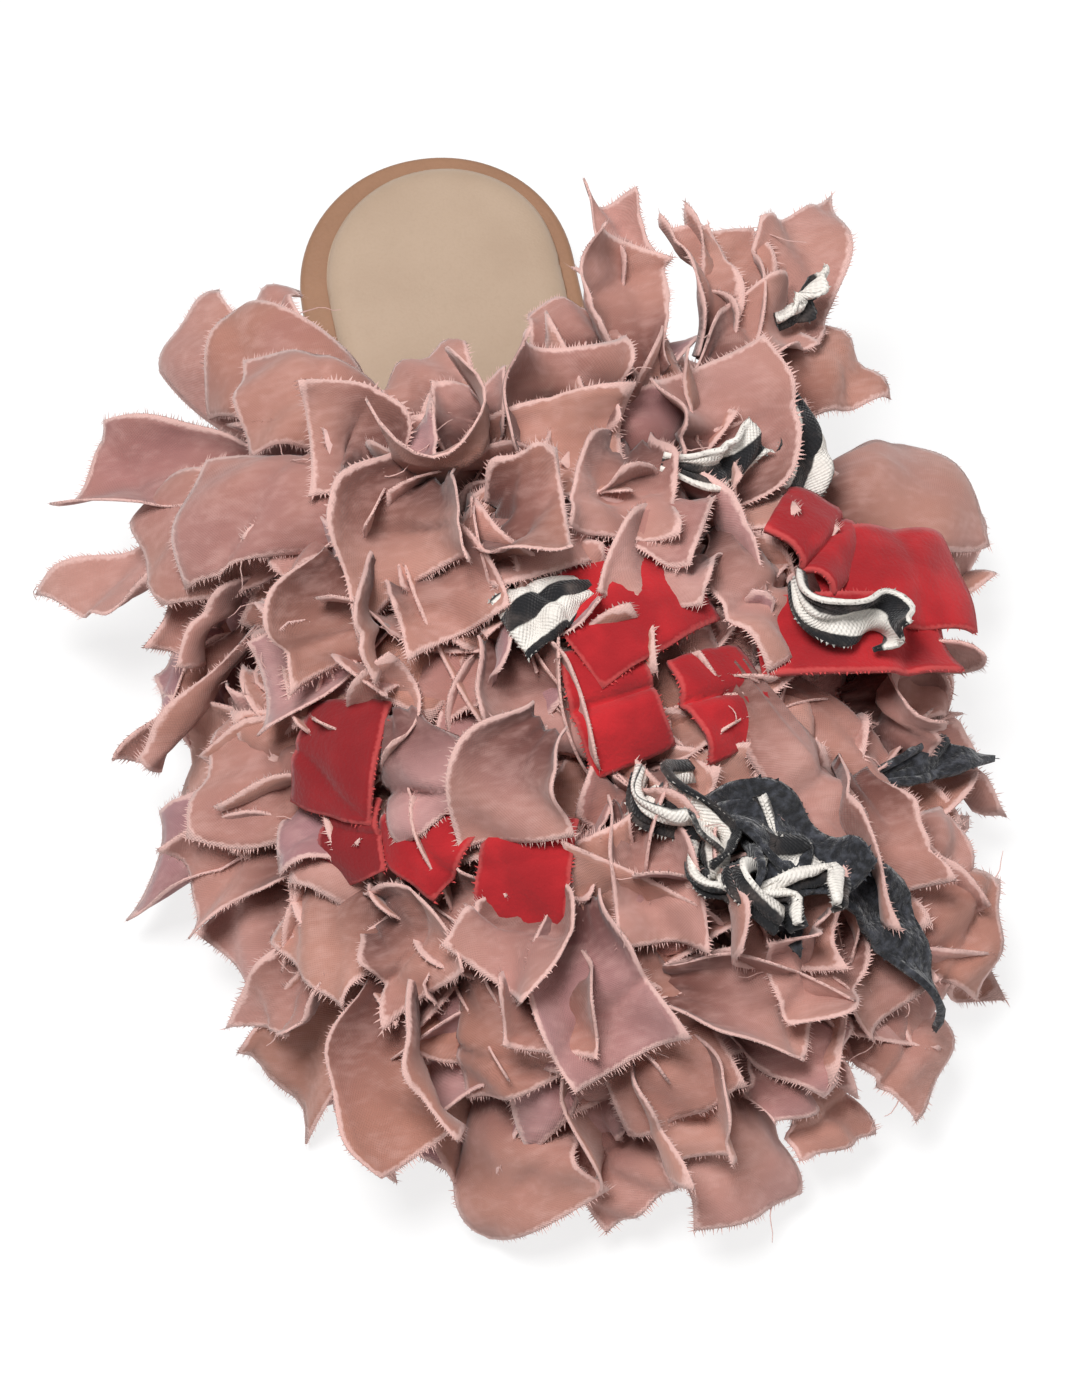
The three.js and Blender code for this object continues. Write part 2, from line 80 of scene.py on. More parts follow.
def srgb(red: int, green: int, blue: int) -> tuple[float, float, float, float]:
    """Turns a picture's colour into a linear colour for a shader.

    Args:
        red: Red, 0 to 255.
        green: Green, 0 to 255.
        blue: Blue, 0 to 255.

    Returns:
        The linear red, green and blue, and an opacity of 1.
    """
    parts = [channel / 255 for channel in (red, green, blue)]
    linear = [p / 12.92 if p <= 0.04045 else ((p + 0.055) / 1.055) ** 2.4 for p in parts]
    return (linear[0], linear[1], linear[2], 1.0)


class Value:
    """A number that a shader node gives, for use in Python expressions."""

    def __init__(self, shader: "Shader", socket: bpy.types.NodeSocket) -> None:
        """Wraps a socket.

        Args:
            shader: The material that the socket belongs to.
            socket: An output socket of one of its nodes.
        """
        self.shader = shader
        self.socket = socket

    def _math(self, operation: str, *numbers: Any) -> "Value":
        """Adds a Math node.

        Args:
            operation: What it does.
            numbers: The values or numbers that it works on.

        Returns:
            Its result.
        """
        inputs = {index: number for index, number in enumerate(numbers)}
        node = self.shader.node("ShaderNodeMath", {"operation": operation}, inputs)
        return Value(self.shader, node.outputs[0])

    def __add__(self, other: Any) -> "Value":
        """Returns self plus other."""
        return self._math("ADD", self, other)

    def __radd__(self, other: Any) -> "Value":
        """Returns other plus self."""
        return self._math("ADD", other, self)

    def __sub__(self, other: Any) -> "Value":
        """Returns self minus other."""
        return self._math("SUBTRACT", self, other)

    def __rsub__(self, other: Any) -> "Value":
        """Returns other minus self."""
        return self._math("SUBTRACT", other, self)

    def __mul__(self, other: Any) -> "Value":
        """Returns self times other."""
        return self._math("MULTIPLY", self, other)

    def __rmul__(self, other: Any) -> "Value":
        """Returns other times self."""
        return self._math("MULTIPLY", other, self)

    def __truediv__(self, other: Any) -> "Value":
        """Returns self divided by other."""
        return self._math("DIVIDE", self, other)

    def fraction(self) -> "Value":
        """Returns the part after the decimal point."""
        return self._math("FRACT", self)

    def distance(self) -> "Value":
        """Returns the value without its sign."""
        return self._math("ABSOLUTE", self)

    def wave(self) -> "Value":
        """Returns the sine."""
        return self._math("SINE", self)

    def step(self, low: float, high: float) -> "Value":
        """Rises smoothly from 0 at low to 1 at high.

        Args:
            low: The value up to which the result is 0.
            high: The value from which the result is 1.

        Returns:
            The result.
        """
        settings = {"interpolation_type": "SMOOTHSTEP"}
        inputs = {"Value": self, "From Min": low, "From Max": high}
        node = self.shader.node("ShaderNodeMapRange", settings, inputs)
        return Value(self.shader, node.outputs[0])


class Shader:
    """One node material with a Principled shader, built by expressions."""

    def __init__(self, name: str) -> None:
        """Makes the material with an empty Principled shader.

        Args:
            name: The material's name.
        """
        self.material = bpy.data.materials.new(name)
        self.material.use_nodes = True
        self.tree = self.material.node_tree
        self.surface = self.tree.nodes["Principled BSDF"]

    def node(self, kind: str, settings: dict[str, Any], inputs: dict[Any, Any]) -> bpy.types.Node:
        """Adds a node.

        Args:
            kind: The node's Blender type.
            settings: Its own settings, such as a Math node's operation, which are set first.
            inputs: Values or links of its sockets, by name or number.

        Returns:
            The node.
        """
        made = self.tree.nodes.new(kind)
        for key, value in settings.items():
            setattr(made, key, value)
        for key, value in inputs.items():
            self.feed(made.inputs[key], value)
        return made

    def feed(self, socket: bpy.types.NodeSocket, value: Any) -> None:
        """Sets a socket, or links something to it.

        Args:
            socket: The socket.
            value: A number or colour that it is set to, or a Value or socket that is linked.
        """
        if isinstance(value, Value):
            self.tree.links.new(value.socket, socket)
        elif isinstance(value, bpy.types.NodeSocket):
            self.tree.links.new(value, socket)
        else:
            socket.default_value = value

    def attribute(self, name: str) -> Value:
        """Returns a number that the mesh holds for each point."""
        made = self.node("ShaderNodeAttribute", {"attribute_name": name}, {})
        return Value(self, made.outputs["Fac"])

    def cloth_place(self) -> tuple[Value, Value]:
        """Gives the place on the flat cloth.

        Returns:
            How far across and how far along, in millimetres.
        """
        made = self.node("ShaderNodeUVMap", {"uv_map": "cloth"}, {})
        split = self.node("ShaderNodeSeparateXYZ", {}, {0: made.outputs[0]})
        return Value(self, split.outputs[0]), Value(self, split.outputs[1])

    def noise(self, size: float, detail: float = 2.0, stretch: Sequence[float] = (1, 1, 1)) -> Value:
        """Returns soft noise over the object.

        Args:
            size: Width of its blots in millimetres.
            detail: How many finer layers it has.
            stretch: How much denser it is along x, y and z.

        Returns:
            The noise, 0 to 1.
        """
        place = self.node("ShaderNodeTexCoord", {}, {})
        scaled = self.node(
            "ShaderNodeVectorMath",
            {"operation": "MULTIPLY"},
            {0: place.outputs["Object"], 1: tuple(stretch)},
        )
        inputs = {"Vector": scaled.outputs[0], "Scale": 1 / (size * MM), "Detail": detail}
        made = self.node("ShaderNodeTexNoise", {}, inputs)
        return Value(self, made.outputs[0])

    def grain(self, size: float) -> Value:
        """Gives the distance to the nearest of many points, for the grain of leather and wool.

        Args:
            size: The usual gap between the points, in millimetres.

        Returns:
            The distance, as a share of that gap.
        """
        place = self.node("ShaderNodeTexCoord", {}, {})
        inputs = {"Vector": place.outputs["Object"], "Scale": 1 / (size * MM)}
        made = self.node("ShaderNodeTexVoronoi", {"feature": "SMOOTH_F1"}, inputs)
        return Value(self, made.outputs["Distance"])

    def mix(self, factor: Any, first: Any, second: Any) -> bpy.types.NodeSocket:
        """Mixes two colours.

        Args:
            factor: Share of the second, 0 to 1.
            first: A colour.
            second: A colour.

        Returns:
            The socket of the mixed colour.
        """
        made = self.node("ShaderNodeMix", {"data_type": "RGBA"}, {})
        self.feed(made.inputs[MIX_FACTOR], factor)
        self.feed(made.inputs[MIX_FIRST], first)
        self.feed(made.inputs[MIX_SECOND], second)
        return made.outputs[MIX_RESULT]

    def bump(self, height: Value, depth: float, strength: float = 1.0) -> None:
        """Feeds a height to the surface's normal.

        Args:
            height: The height, 0 to 1.
            depth: What a height of 1 stands for, in millimetres.
            strength: How much of it shows.
        """
        inputs = {"Strength": strength, "Distance": depth * MM, "Height": height}
        made = self.node("ShaderNodeBump", {}, inputs)
        self.feed(self.surface.inputs["Normal"], made.outputs[0])

    def dress(self, **values: Any) -> bpy.types.Material:
        """Sets the surface's sockets.

        Args:
            values: Numbers, colours or values by socket, with underscores for spaces.

        Returns:
            The material.
        """
        for key, value in values.items():
            self.feed(self.surface.inputs[key.replace("_", " ")], value)
        return self.material


class Cloth(Enum):
    """The cloths that the strips are torn from, and the slot that each takes its finish from."""

    COTTON = "pink_cotton"
    FELT = "red_felt"
    KNIT = "striped_knit"
    WOOL = "charcoal_wool"


# How thick each cloth is.
THICKNESS = {Cloth.COTTON: 0.5, Cloth.FELT: 1.3, Cloth.KNIT: 1.1, Cloth.WOOL: 1.5}


@dataclass(frozen=True)
class CottonFinish:
    """Dusty pink cotton with slubs, soft creases and pale torn edges, with painted shade near the knots.

    Attributes:
        mauve: Colour of strips of tone 0.
        peach: Colour of strips of tone 1.
        lilac: Colour of the cooler blots.
        torn: Colour of torn edges.
        faded: Colour that some strips fade to.
        painted_shade: Painted shade, the darker colour near the knots where the strips crowd together.
        edge_width: How far in the torn edge reaches.
        weave: Gap between threads.
    """

    mauve: tuple = srgb(151, 102, 100)
    peach: tuple = srgb(167, 115, 99)
    lilac: tuple = srgb(168, 126, 132)
    torn: tuple = srgb(228, 188, 180)
    faded: tuple = srgb(204, 156, 144)
    painted_shade: tuple = srgb(82, 38, 32)
    edge_width: float = 1.15
    weave: float = 0.62

    def material(self) -> bpy.types.Material:
        """Makes the cotton's material.

        Returns:
            The material.
        """
        shader = Shader("pink_cotton")
        across, along = shader.cloth_place()
        tone = shader.attribute("tone")
        drift = shader.noise(26, 2)
        hue = (tone * 0.75 + drift * 0.6).step(0.35, 0.95)
        warm = shader.mix(hue, self.mauve, self.peach)
        cool = (shader.noise(34, 1) * 0.6 + (1 - tone) * 0.5).step(0.62, 0.86)
        base = shader.mix(cool * 0.75, warm, self.lilac)
        base = shader.mix((tone * 7.3).fraction() * 0.5, base, self.faded)
        # Painted shade: within about 24 mm of each strip's root the colour darkens, standing in for the
        # shade among the crowded strips at the knot.
        base = shader.mix((1 - along.step(3, 24)) * 0.85, base, self.painted_shade)
        slub = shader.noise(1.6, 3, (0.35, 1, 1))
        mottled = shader.mix((slub * 0.5 + shader.noise(9, 3) * 0.5).step(0.42, 0.7) * 0.2, base, self.torn)
        ragged = shader.attribute("edge") + shader.noise(1.3, 2) * 1.2 - 0.6
        torn = 1 - ragged.step(self.edge_width * 0.35, self.edge_width)
        colour = shader.mix(torn * 0.8, mottled, self.torn)
        warp = (across * (2 * math.pi / self.weave)).wave()
        weft = (along * (2 * math.pi / self.weave)).wave()
        threads = warp * weft * 0.16 + slub * 0.12
        crease = shader.noise(7, 3) * 2.0
        shader.bump(threads + crease + torn * shader.noise(0.7, 2) * 0.7, 0.42, 0.55)
        return shader.dress(Base_Color=colour, Roughness=0.92, Sheen_Weight=0.22, Sheen_Roughness=0.5)


@dataclass(frozen=True)
class FeltFinish:
    """Red wool felt, matt and slightly fuzzy, with painted shade on strips of high tone.

    Attributes:
        red: Its colour.
        deep: Colour of the darker blots.
        worn: Colour of cut edges.
        painted_shade: Painted shade, the colour of strips that lie in shade, chosen by their tone.
    """

    red: tuple = srgb(184, 26, 34)
    deep: tuple = srgb(152, 14, 24)
    worn: tuple = srgb(206, 84, 82)
    painted_shade: tuple = srgb(112, 8, 16)

    def material(self) -> bpy.types.Material:
        """Makes the felt's material.

        Returns:
            The material.
        """
        shader = Shader("red_felt")
        fuzz = shader.noise(0.9, 4)
        blot = shader.noise(12, 2)
        base = shader.mix(blot.step(0.35, 0.7), self.deep, self.red)
        # Painted shade: felt strips whose tone is over 0.6 darken towards a shaded red, as if they lay in
        # shade.
        base = shader.mix(shader.attribute("tone").step(0.6, 1.0) * 0.75, base, self.painted_shade)
        torn = 1 - (shader.attribute("edge") + fuzz * 0.8 - 0.4).step(0.2, 0.8)
        colour = shader.mix(torn * 0.6, base, self.worn)
        shader.bump(fuzz + blot * 0.6, 0.4, 0.6)
        return shader.dress(Base_Color=colour, Roughness=0.95, Sheen_Weight=0.1, Sheen_Roughness=0.6)


@dataclass(frozen=True)
class KnitFinish:
    """Ribbed knit with black and white stripes along the strip.

    Attributes:
        black: Colour of the dark stripes.
        white: Colour of the light stripes.
        stripe: Width of a stripe.
        rib: Gap between stitches.
    """

    black: tuple = srgb(20, 20, 24)
    white: tuple = srgb(236, 230, 222)
    stripe: float = 4.4
    rib: float = 0.9

    def material(self) -> bpy.types.Material:
        """Makes the knit's material.

        Returns:
            The material.
        """
        shader = Shader("striped_knit")
        across, along = shader.cloth_place()
        wander = shader.noise(1.6, 2) * 0.05 - 0.025
        place = (across / (2 * self.stripe) + wander + 0.25).fraction()
        band = ((place - 0.5).distance() * 4 - 1).step(-0.1, 0.1)
        colour = shader.mix(band, self.white, self.black)
        dirt = shader.noise(6, 3).step(0.45, 0.8) * 0.25
        soiled = shader.mix(dirt, colour, srgb(170, 150, 140))
        stitch = (along * (2 * math.pi / self.rib)).wave() * (across * (2 * math.pi / self.rib)).wave()
        shader.bump(stitch * 0.4 + shader.noise(1, 3), 0.4, 0.7)
        return shader.dress(Base_Color=soiled, Roughness=0.9, Sheen_Weight=0.15, Sheen_Roughness=0.5)


@dataclass(frozen=True)
class WoolFinish:
    """Charcoal boiled wool with a pebbly face.

    Attributes:
        charcoal: Its colour between the loops.
        pale: Colour of the loops.
    """

    charcoal: tuple = srgb(24, 25, 30)
    pale: tuple = srgb(70, 72, 80)

    def material(self) -> bpy.types.Material:
        """Makes the wool's material.

        Returns:
            The material.
        """
        shader = Shader("charcoal_wool")
        loops = shader.grain(1.5)
        fuzz = shader.noise(0.8, 4)
        colour = shader.mix((loops * 0.7 + fuzz * 0.6).step(0.45, 0.95), self.charcoal, self.pale)
        shader.bump(loops + fuzz * 0.8, 0.9, 0.8)
        return shader.dress(Base_Color=colour, Roughness=0.95, Sheen_Weight=0.3, Sheen_Roughness=0.5)


@dataclass(frozen=True)
class LeatherFinish:
    """Smooth leather with fine grain and a little polish.

    Attributes:
        name: The material's name.
        base: Its colour.
        deep: Colour of blots and pores.
        grain: Gap between pores.
        roughness: How matt it is on average.
        relief: Depth of the grain.
    """

    name: str
    base: tuple
    deep: tuple
    grain: float = 0.8
    roughness: float = 0.5
    relief: float = 0.12

    def material(self) -> bpy.types.Material:
        """Makes the leather's material.

        Returns:
            The material.
        """
        shader = Shader(self.name)
        blot = shader.noise(18, 3)
        pores = shader.grain(self.grain)
        fine = shader.noise(0.5, 3)
        base = shader.mix(blot.step(0.3, 0.75) * 0.5, self.base, self.deep)
        colour = shader.mix(pores.step(0.35, 0.8) * 0.18, base, self.deep)
        rough = self.roughness + (blot * 0.6 + fine * 0.4 - 0.5) * 0.22
        shader.bump(pores * -0.7 + fine * 0.3 + blot * 1.2, self.relief, 0.7)
        return shader.dress(Base_Color=colour, Roughness=rough, Specular_IOR_Level=0.4)


@dataclass(frozen=True)
class CanvasFinish:
    """Plain woven canvas, as on the vamp under the strips, its lining and its bound collar.

    Attributes:
        name: The material's name.
        base: Its colour.
        deep: Colour of the darker blots and threads.
        thread: Gap between threads.
    """

    name: str
    base: tuple
    deep: tuple
    thread: float = 0.8

    def material(self) -> bpy.types.Material:
        """Makes the canvas's material.

        Returns:
            The material.
        """
        shader = Shader(self.name)
        across, along = shader.cloth_place()
        turn = 2 * math.pi / self.thread
        weave = (across * turn).wave() * (along * turn).wave() * 0.5 + 0.5
        blot = shader.noise(10, 3)
        base = shader.mix(blot.step(0.3, 0.75) * 0.7, self.base, self.deep)
        colour = shader.mix(weave.step(0.2, 0.9) * 0.25, base, self.deep)
        shader.bump(weave + blot * 0.8, 0.25, 0.7)
        return shader.dress(Base_Color=colour, Roughness=0.9)


@dataclass(frozen=True)
class RubberFinish:
    """Brown moulded rubber with a fine tread on its underside.

    Attributes:
        base: Its colour.
        deep: Colour of scuffs and speckles.
        tread: Gap between the tread's pips.
    """

    base: tuple = srgb(128, 98, 80)
    deep: tuple = srgb(88, 64, 52)
    tread: float = 3.0

    def material(self) -> bpy.types.Material:
        """Makes the rubber's material.

        Returns:
            The material.
        """
        shader = Shader("outsole_rubber")
        across, along = shader.cloth_place()
        turn = 2 * math.pi / self.tread
        pips = (across * turn).wave() * (along * turn).wave()
        speckle = shader.noise(1.1, 3)
        scuff = shader.noise(14, 4).step(0.45, 0.75)
        colour = shader.mix(scuff * 0.5 + speckle * 0.2, self.base, self.deep)
        shader.bump(pips.step(-0.2, 0.4) * 0.8 + speckle * 0.5, 0.35, 0.8)
        return shader.dress(Base_Color=colour, Roughness=0.72 + (scuff - 0.5) * 0.12)


def footbed_back() -> float:
    """Returns y of the footbed's back in the row frame, in millimetres."""
    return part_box("footbed")[0].y / MM


@dataclass
class ShoeFrame:
    """Where the shoe's own frame lies in the row frame.

    Attributes:
        heel_back: y of the heel's back in the row frame.
    """

    heel_back: float = field(default_factory=footbed_back)

    def to_row(self, points: np.ndarray) -> np.ndarray:
        """Returns points of the shoe, in millimetres, as points of the row, in metres."""
        return (np.asarray(points, float) + np.array([0.0, self.heel_back, 0.0])) * MM


@dataclass
class Pieces:
    """Makes the scene's objects out of plain mesh arrays.

    Attributes:
        shoe: Where the shoe stands.
        finishes: The materials by their short names.
    """

    shoe: ShoeFrame
    finishes: dict[str, bpy.types.Material] = field(default_factory=dict)

    def make(
        self,
        name: str,
        points: np.ndarray,
        faces: Sequence[Sequence[int]],
        materials: Sequence[str],
        slot: str,
        places: np.ndarray,
        marks: dict[str, np.ndarray] | None = None,
        flat: np.ndarray | None = None,
        chosen: np.ndarray | None = None,
    ) -> bpy.types.Object:
        """Makes one piece and lets it ride on the shoe.

        Args:
            name: The piece's name.
            points: Its points in the shoe's frame, in millimetres.
            faces: Point numbers of each face, outward.
            materials: Names of its finishes.
            slot: The record's slot for its finish; not used.
            places: Each point's place on the flat material, in millimetres.
            marks: Numbers for each point, by name.
            flat: True for each face that isn't smooth.
            chosen: For each face, which of the finishes it has.

        Returns:
            The piece.
        """
        mesh = bpy.data.meshes.new(name)
        mesh.from_pydata(self.shoe.to_row(points).tolist(), [], faces)
        smooth = np.ones(len(faces), bool) if flat is None else ~np.asarray(flat, bool)
        mesh.polygons.foreach_set("use_smooth", smooth)
        if chosen is not None:
            mesh.polygons.foreach_set("material_index", np.asarray(chosen, np.int32))
        corners = np.empty(len(mesh.loops), np.int32)
        mesh.loops.foreach_get("vertex_index", corners)
        layer = mesh.uv_layers.new(name="cloth")
        layer.data.foreach_set("uv", np.asarray(places, np.float32)[corners].ravel())
        for key, numbers in (marks or {}).items():
            mark = mesh.attributes.new(key, "FLOAT", "POINT")
            mark.data.foreach_set("value", np.asarray(numbers, np.float32))
        for finish in materials:
            mesh.materials.append(self.finishes[finish])
        mesh.update()
        piece = bpy.data.objects.new(name, mesh)
        bpy.context.collection.objects.link(piece)
        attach(piece, BODY)
        LOG.info("%s: %d faces", name, len(faces))
        return piece


@dataclass
class SolePlan:
    """The sole's outline and the seat that the layers follow.

    Attributes:
        length: Of the footbed.
        ball_width: Of the footbed at the ball.
        heel_height: Of the low heel.
        outsole_thickness: Of the outsole before the heel.
        toe_spring: How far the toe rises.
        footbed_thickness: Of the wrapped board.
        pad_thickness: Of the padded insole at its rim.
        rim: From the footbed's edge to the pad's.
        clearance: Gap between layers.
        steps: Steps of the outline on each side.
        rows: Place along, shift to the inner side and half width, as shares of length and ball width.
        seat_rows: Place along, share of the heel's height and share of the toe spring.
        heel_round: Length of the round heel, as a share of the sole, and its fullness.
        toe_round: The same for the toe.
    """

    length: float = 250.0
    ball_width: float = 90.0
    heel_height: float = 8.0
    outsole_thickness: float = 3.5
    toe_spring: float = 6.0
    footbed_thickness: float = 5.5
    pad_thickness: float = 4.0
    rim: float = 5.0
    clearance: float = 0.3
    steps: int = 110
    rows: tuple = (
        (0.0, 0.016, 0.348),
        (0.15, 0.004, 0.35),
        (0.3, -0.002, 0.346),
        (0.45, -0.02, 0.366),
        (0.58, -0.01, 0.44),
        (0.7, 0.02, 0.5),
        (0.82, 0.05, 0.48),
        (0.92, 0.085, 0.42),
        (1.0, 0.11, 0.36),
    )
    seat_rows: tuple = (
        (0.0, 1.0, 0.0),
        (0.26, 1.0, 0.0),
        (0.36, 0.78, 0.0),
        (0.47, 0.25, 0.0),
        (0.56, 0.0, 0.0),
        (0.8, 0.0, 0.0),
        (0.9, 0.0, 0.35),
        (1.0, 0.0, 1.0),
    )
    heel_round: tuple = (0.133, 2.05)
    toe_round: tuple = (0.2, 2.2)

    def curve(self, rows: Sequence[Sequence[float]], column: int, at: np.ndarray) -> np.ndarray:
        """Reads a column of a table on a smooth curve through its rows.

        Args:
            rows: The table, with the place along in its first column.
            column: Which column is read.
            at: Places along, 0 to 1.

        Returns:
            The values there.
        """
        table = np.asarray(rows, float)
        x, y = table[:, 0], table[:, column]
        rise = np.diff(y)
        run = np.zeros(len(x))
        run[1:-1] = np.where(rise[1:] * rise[:-1] > 0, (y[2:] - y[:-2]) / (x[2:] - x[:-2]), 0.0)
        at = np.clip(np.asarray(at, float), 0.0, 1.0)
        i = np.clip(np.searchsorted(x, at, side="right") - 1, 0, len(x) - 2)
        span = x[i + 1] - x[i]
        t = (at - x[i]) / span
        return (
            y[i] * (2 * t**3 - 3 * t**2 + 1)
            + y[i + 1] * (3 * t**2 - 2 * t**3)
            + run[i] * span * (t**3 - 2 * t**2 + t)
            + run[i + 1] * span * (t**3 - t**2)
        )

    def centre(self, at: np.ndarray) -> np.ndarray:
        """Returns the middle of the plan, x in millimetres."""
        return -self.curve(self.rows, 1, at) * self.ball_width

    def half(self, at: np.ndarray) -> np.ndarray:
        """Works out half the plan's width.

        Args:
            at: Places along, 0 to 1.

        Returns:
            Half the width there, in millimetres.
        """
        at = np.asarray(at, float)
        heel = np.maximum(0, 1 - at / self.heel_round[0])
        toe = np.maximum(0, 1 - (1 - at) / self.toe_round[0])
        rounded = (1 - np.minimum(heel, 1) ** self.heel_round[1]) ** (1 / self.heel_round[1])
        rounded = rounded * (1 - np.minimum(toe, 1) ** self.toe_round[1]) ** (1 / self.toe_round[1])
        return self.curve(self.rows, 2, at) * self.ball_width * rounded

    def seat(self, at: np.ndarray) -> np.ndarray:
        """Returns the height of the outsole's top."""
        heel = self.heel_height * self.curve(self.seat_rows, 1, at)
        return self.outsole_thickness + heel + self.toe_spring * self.curve(self.seat_rows, 2, at)

    def underside(self, at: np.ndarray) -> np.ndarray:
        """Returns the height of the outsole's underside, without the heel's block."""
        return self.seat(at) - self.outsole_thickness

    def footbed_bottom(self, at: np.ndarray) -> np.ndarray:
        """Returns the height of the footbed's underside."""
        return self.seat(at) + self.clearance

    def footbed_top(self, at: np.ndarray) -> np.ndarray:
        """Returns the height of the footbed's top."""
        return self.footbed_bottom(at) + self.footbed_thickness

    def stations(self, steps: int) -> np.ndarray:
        """Returns places along the sole, closer together at its round ends."""
        return (1 - np.cos(np.linspace(0, math.pi, steps + 1))) / 2

    def ring(self, inset: float) -> np.ndarray:
        """Moves the outline inwards.

        Args:
            inset: How far.

        Returns:
            Points from the heel up the inner side to the toe and back along the outer side.
        """
        at = self.stations(self.steps)
        centre, half = self.centre(at), self.half(at)
        inner = np.stack([centre - half, at * self.length], 1)
        outer = np.stack([centre + half, at * self.length], 1)
        ring = np.concatenate([inner, outer[1:-1][::-1]])
        along = unit(np.roll(ring, -1, 0) - np.roll(ring, 1, 0))
        return ring + np.stack([along[:, 1], -along[:, 0]], 1) * inset

    def plate(self, levels: Sequence[tuple[float, Any, float]]) -> tuple[np.ndarray, list]:
        """Builds a plate with the sole's outline.

        Args:
            levels: From the bottom up, each level's inset, the curve that it follows and its lift.

        Returns:
            Its points and faces.
        """
        rings = []
        for inset, curve, lift in levels:
            ring = self.ring(inset)
            level = curve(np.clip(ring[:, 1] / self.length, 0, 1)) + lift
            rings.append(np.column_stack([ring, level]))
        count = len(rings[0])
        faces: list = []
        for k in range(len(levels) - 1):
            for i in range(count):
                a, b = k * count + i, k * count + (i + 1) % count
                faces.append((a, a + count, b + count, b))
        top = (len(levels) - 1) * count
        for i in range(self.steps):
            inner, outer = (i, i + 1), ((count - i) % count, count - i - 1)
            corners = list(dict.fromkeys([inner[0], inner[1], outer[1], outer[0]]))
            faces.append(tuple(corners))
            faces.append(tuple(top + c for c in reversed(corners)))
        return np.concatenate(rings), faces


@dataclass
class Sole:
    """The outsole with its heel, the footbed and the insole pad.

    Attributes:
        plan: The outline and the seat.
        pieces: What makes the objects.
        heel_length: Of the heel's block, from the back.
        heel_breast: How far the front of the block is hollowed.
        heel_steps: Points across the front of the block.
        heel_levels: Inset and height of each level of the block's side, from the floor up.
        outsole_inset: From the footbed's edge to the outsole's.
        bevel: Of the outsole's lower edge.
        soft_bevel: Where that edge is half round.
        top_inset: How far the outsole's upper edge falls back.
        top_edge: Height of that upper edge.
        roll: Radius of the leather over the footbed's edge.
        roll_steps: Levels of that round edge.
        pad_rows: Rows of the pad's mesh.
        pad_columns: Columns of the pad's mesh.
        pad_outline: Steps of the outline from which its sides are rounded.
        pad_round: How far in its sides are rounded.
        pad_power: Fullness of the rounding.
        pad_crown: Extra height in its middle.
        crown_reach: How far in from the edge the crown is full.
        pad_shift: How far the pad lies off the middle at the heel.
        pad_straight: From where, and over what length, that shift dies out.
    """

    plan: SolePlan
    pieces: Pieces
    heel_length: float = 62.0
    heel_breast: float = 5.0
    heel_steps: int = 24
    heel_levels: tuple = ((1.0, 0.0), (0.5, 0.3), (0.45, 3.7), (0.8, 4.0), (0.45, 4.3), (0.1, 8.2))
    outsole_inset: float = 1.0
    bevel: float = 0.8
    soft_bevel: float = 0.25
    top_inset: float = 0.4
    top_edge: float = 0.5
    roll: float = 1.6
    roll_steps: int = 13
    pad_rows: int = 150
    pad_columns: int = 45
    pad_outline: int = 420
    pad_round: float = 6.5
    pad_power: float = 2.3
    pad_crown: float = 0.7
    crown_reach: float = 24.0
    pad_shift: float = 1.2
    pad_straight: tuple = (75.0, 35.0)

    def outsole(self) -> bpy.types.Object:
        """Builds the outsole with its low heel.

        Returns:
            The piece.
        """
        plan, inset = self.plan, self.outsole_inset
        points, faces = plan.plate(
            [
                (inset + self.bevel, plan.underside, 0.0),
                (inset + self.soft_bevel, plan.underside, self.soft_bevel),
                (inset, plan.underside, self.bevel),
                (inset, plan.seat, -self.top_edge),
                (inset + self.top_inset, plan.seat, 0.0),
            ]
        )
        block, sides = self._heel_block(inset + self.top_inset)
        sides = [tuple(len(points) + i for i in side) for side in sides]
        everything = np.concatenate([points, block])
        piece = self.pieces.make(
            "outsole_rubber", everything, faces + sides, ["rubber"], "outsole_rubber", everything[:, :2]
        )
        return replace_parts(piece, "outsole")

    def _heel_block(self, inset: float) -> tuple[np.ndarray, list]:
        """Builds the heel's block, with a curved breast and layered sides.

        Args:
            inset: From the footbed's edge to the block's top edge.

        Returns:
            Its points and faces.
        """
        half = self.plan.steps
        rings = []
        for lean, height in self.heel_levels:
            ring = self.plan.ring(inset + lean)
            inner = ring[: half + 1]
            outer = np.concatenate([ring[:1], ring[half:][::-1]])
            inner = inner[inner[:, 1] < self.heel_length - lean]
            outer = outer[outer[:, 1] < self.heel_length - lean]
            across = np.linspace(inner[-1, 0], outer[-1, 0], self.heel_steps)[1:-1]
            reach = self.plan.ball_width / 2
            breast = self.heel_length - lean - self.heel_breast * (1 - (across / reach) ** 2)
            row = np.concatenate([inner, np.column_stack([across, breast]), outer[::-1][:-1]])
            rings.append(np.column_stack([row, np.full(len(row), height)]))
        shortest = min(len(ring) for ring in rings)
        rings = [ring[np.linspace(0, len(ring) - 1, shortest).round().astype(int)] for ring in rings]
        faces: list = [tuple(range(shortest))]
        for k in range(len(self.heel_levels) - 1):
            for i in range(shortest):
                a, b = k * shortest + i, k * shortest + (i + 1) % shortest
                faces.append((a, a + shortest, b + shortest, b))
        return np.concatenate(rings), faces

    def footbed(self) -> bpy.types.Object:
        """Builds the footbed, whose leather is rolled over its edge.

        Returns:
            The piece.
        """
        plan = self.plan
        middle = plan.footbed_thickness / 2
        room = middle - self.roll
        levels = []
        for turn in np.linspace(-90, 90, self.roll_steps):
            inset = self.roll * (1 - math.cos(math.radians(turn)))
            lift = self.roll * math.sin(math.radians(turn))
            height = middle + lift + (room if turn > 0 else -room if turn < 0 else 0)
            levels.append((inset, plan.footbed_bottom, height))
        points, faces = plan.plate(levels)
        piece = self.pieces.make("footbed_rim", points, faces, ["tan"], "tan_leather", points[:, :2])
        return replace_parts(piece, "footbed")

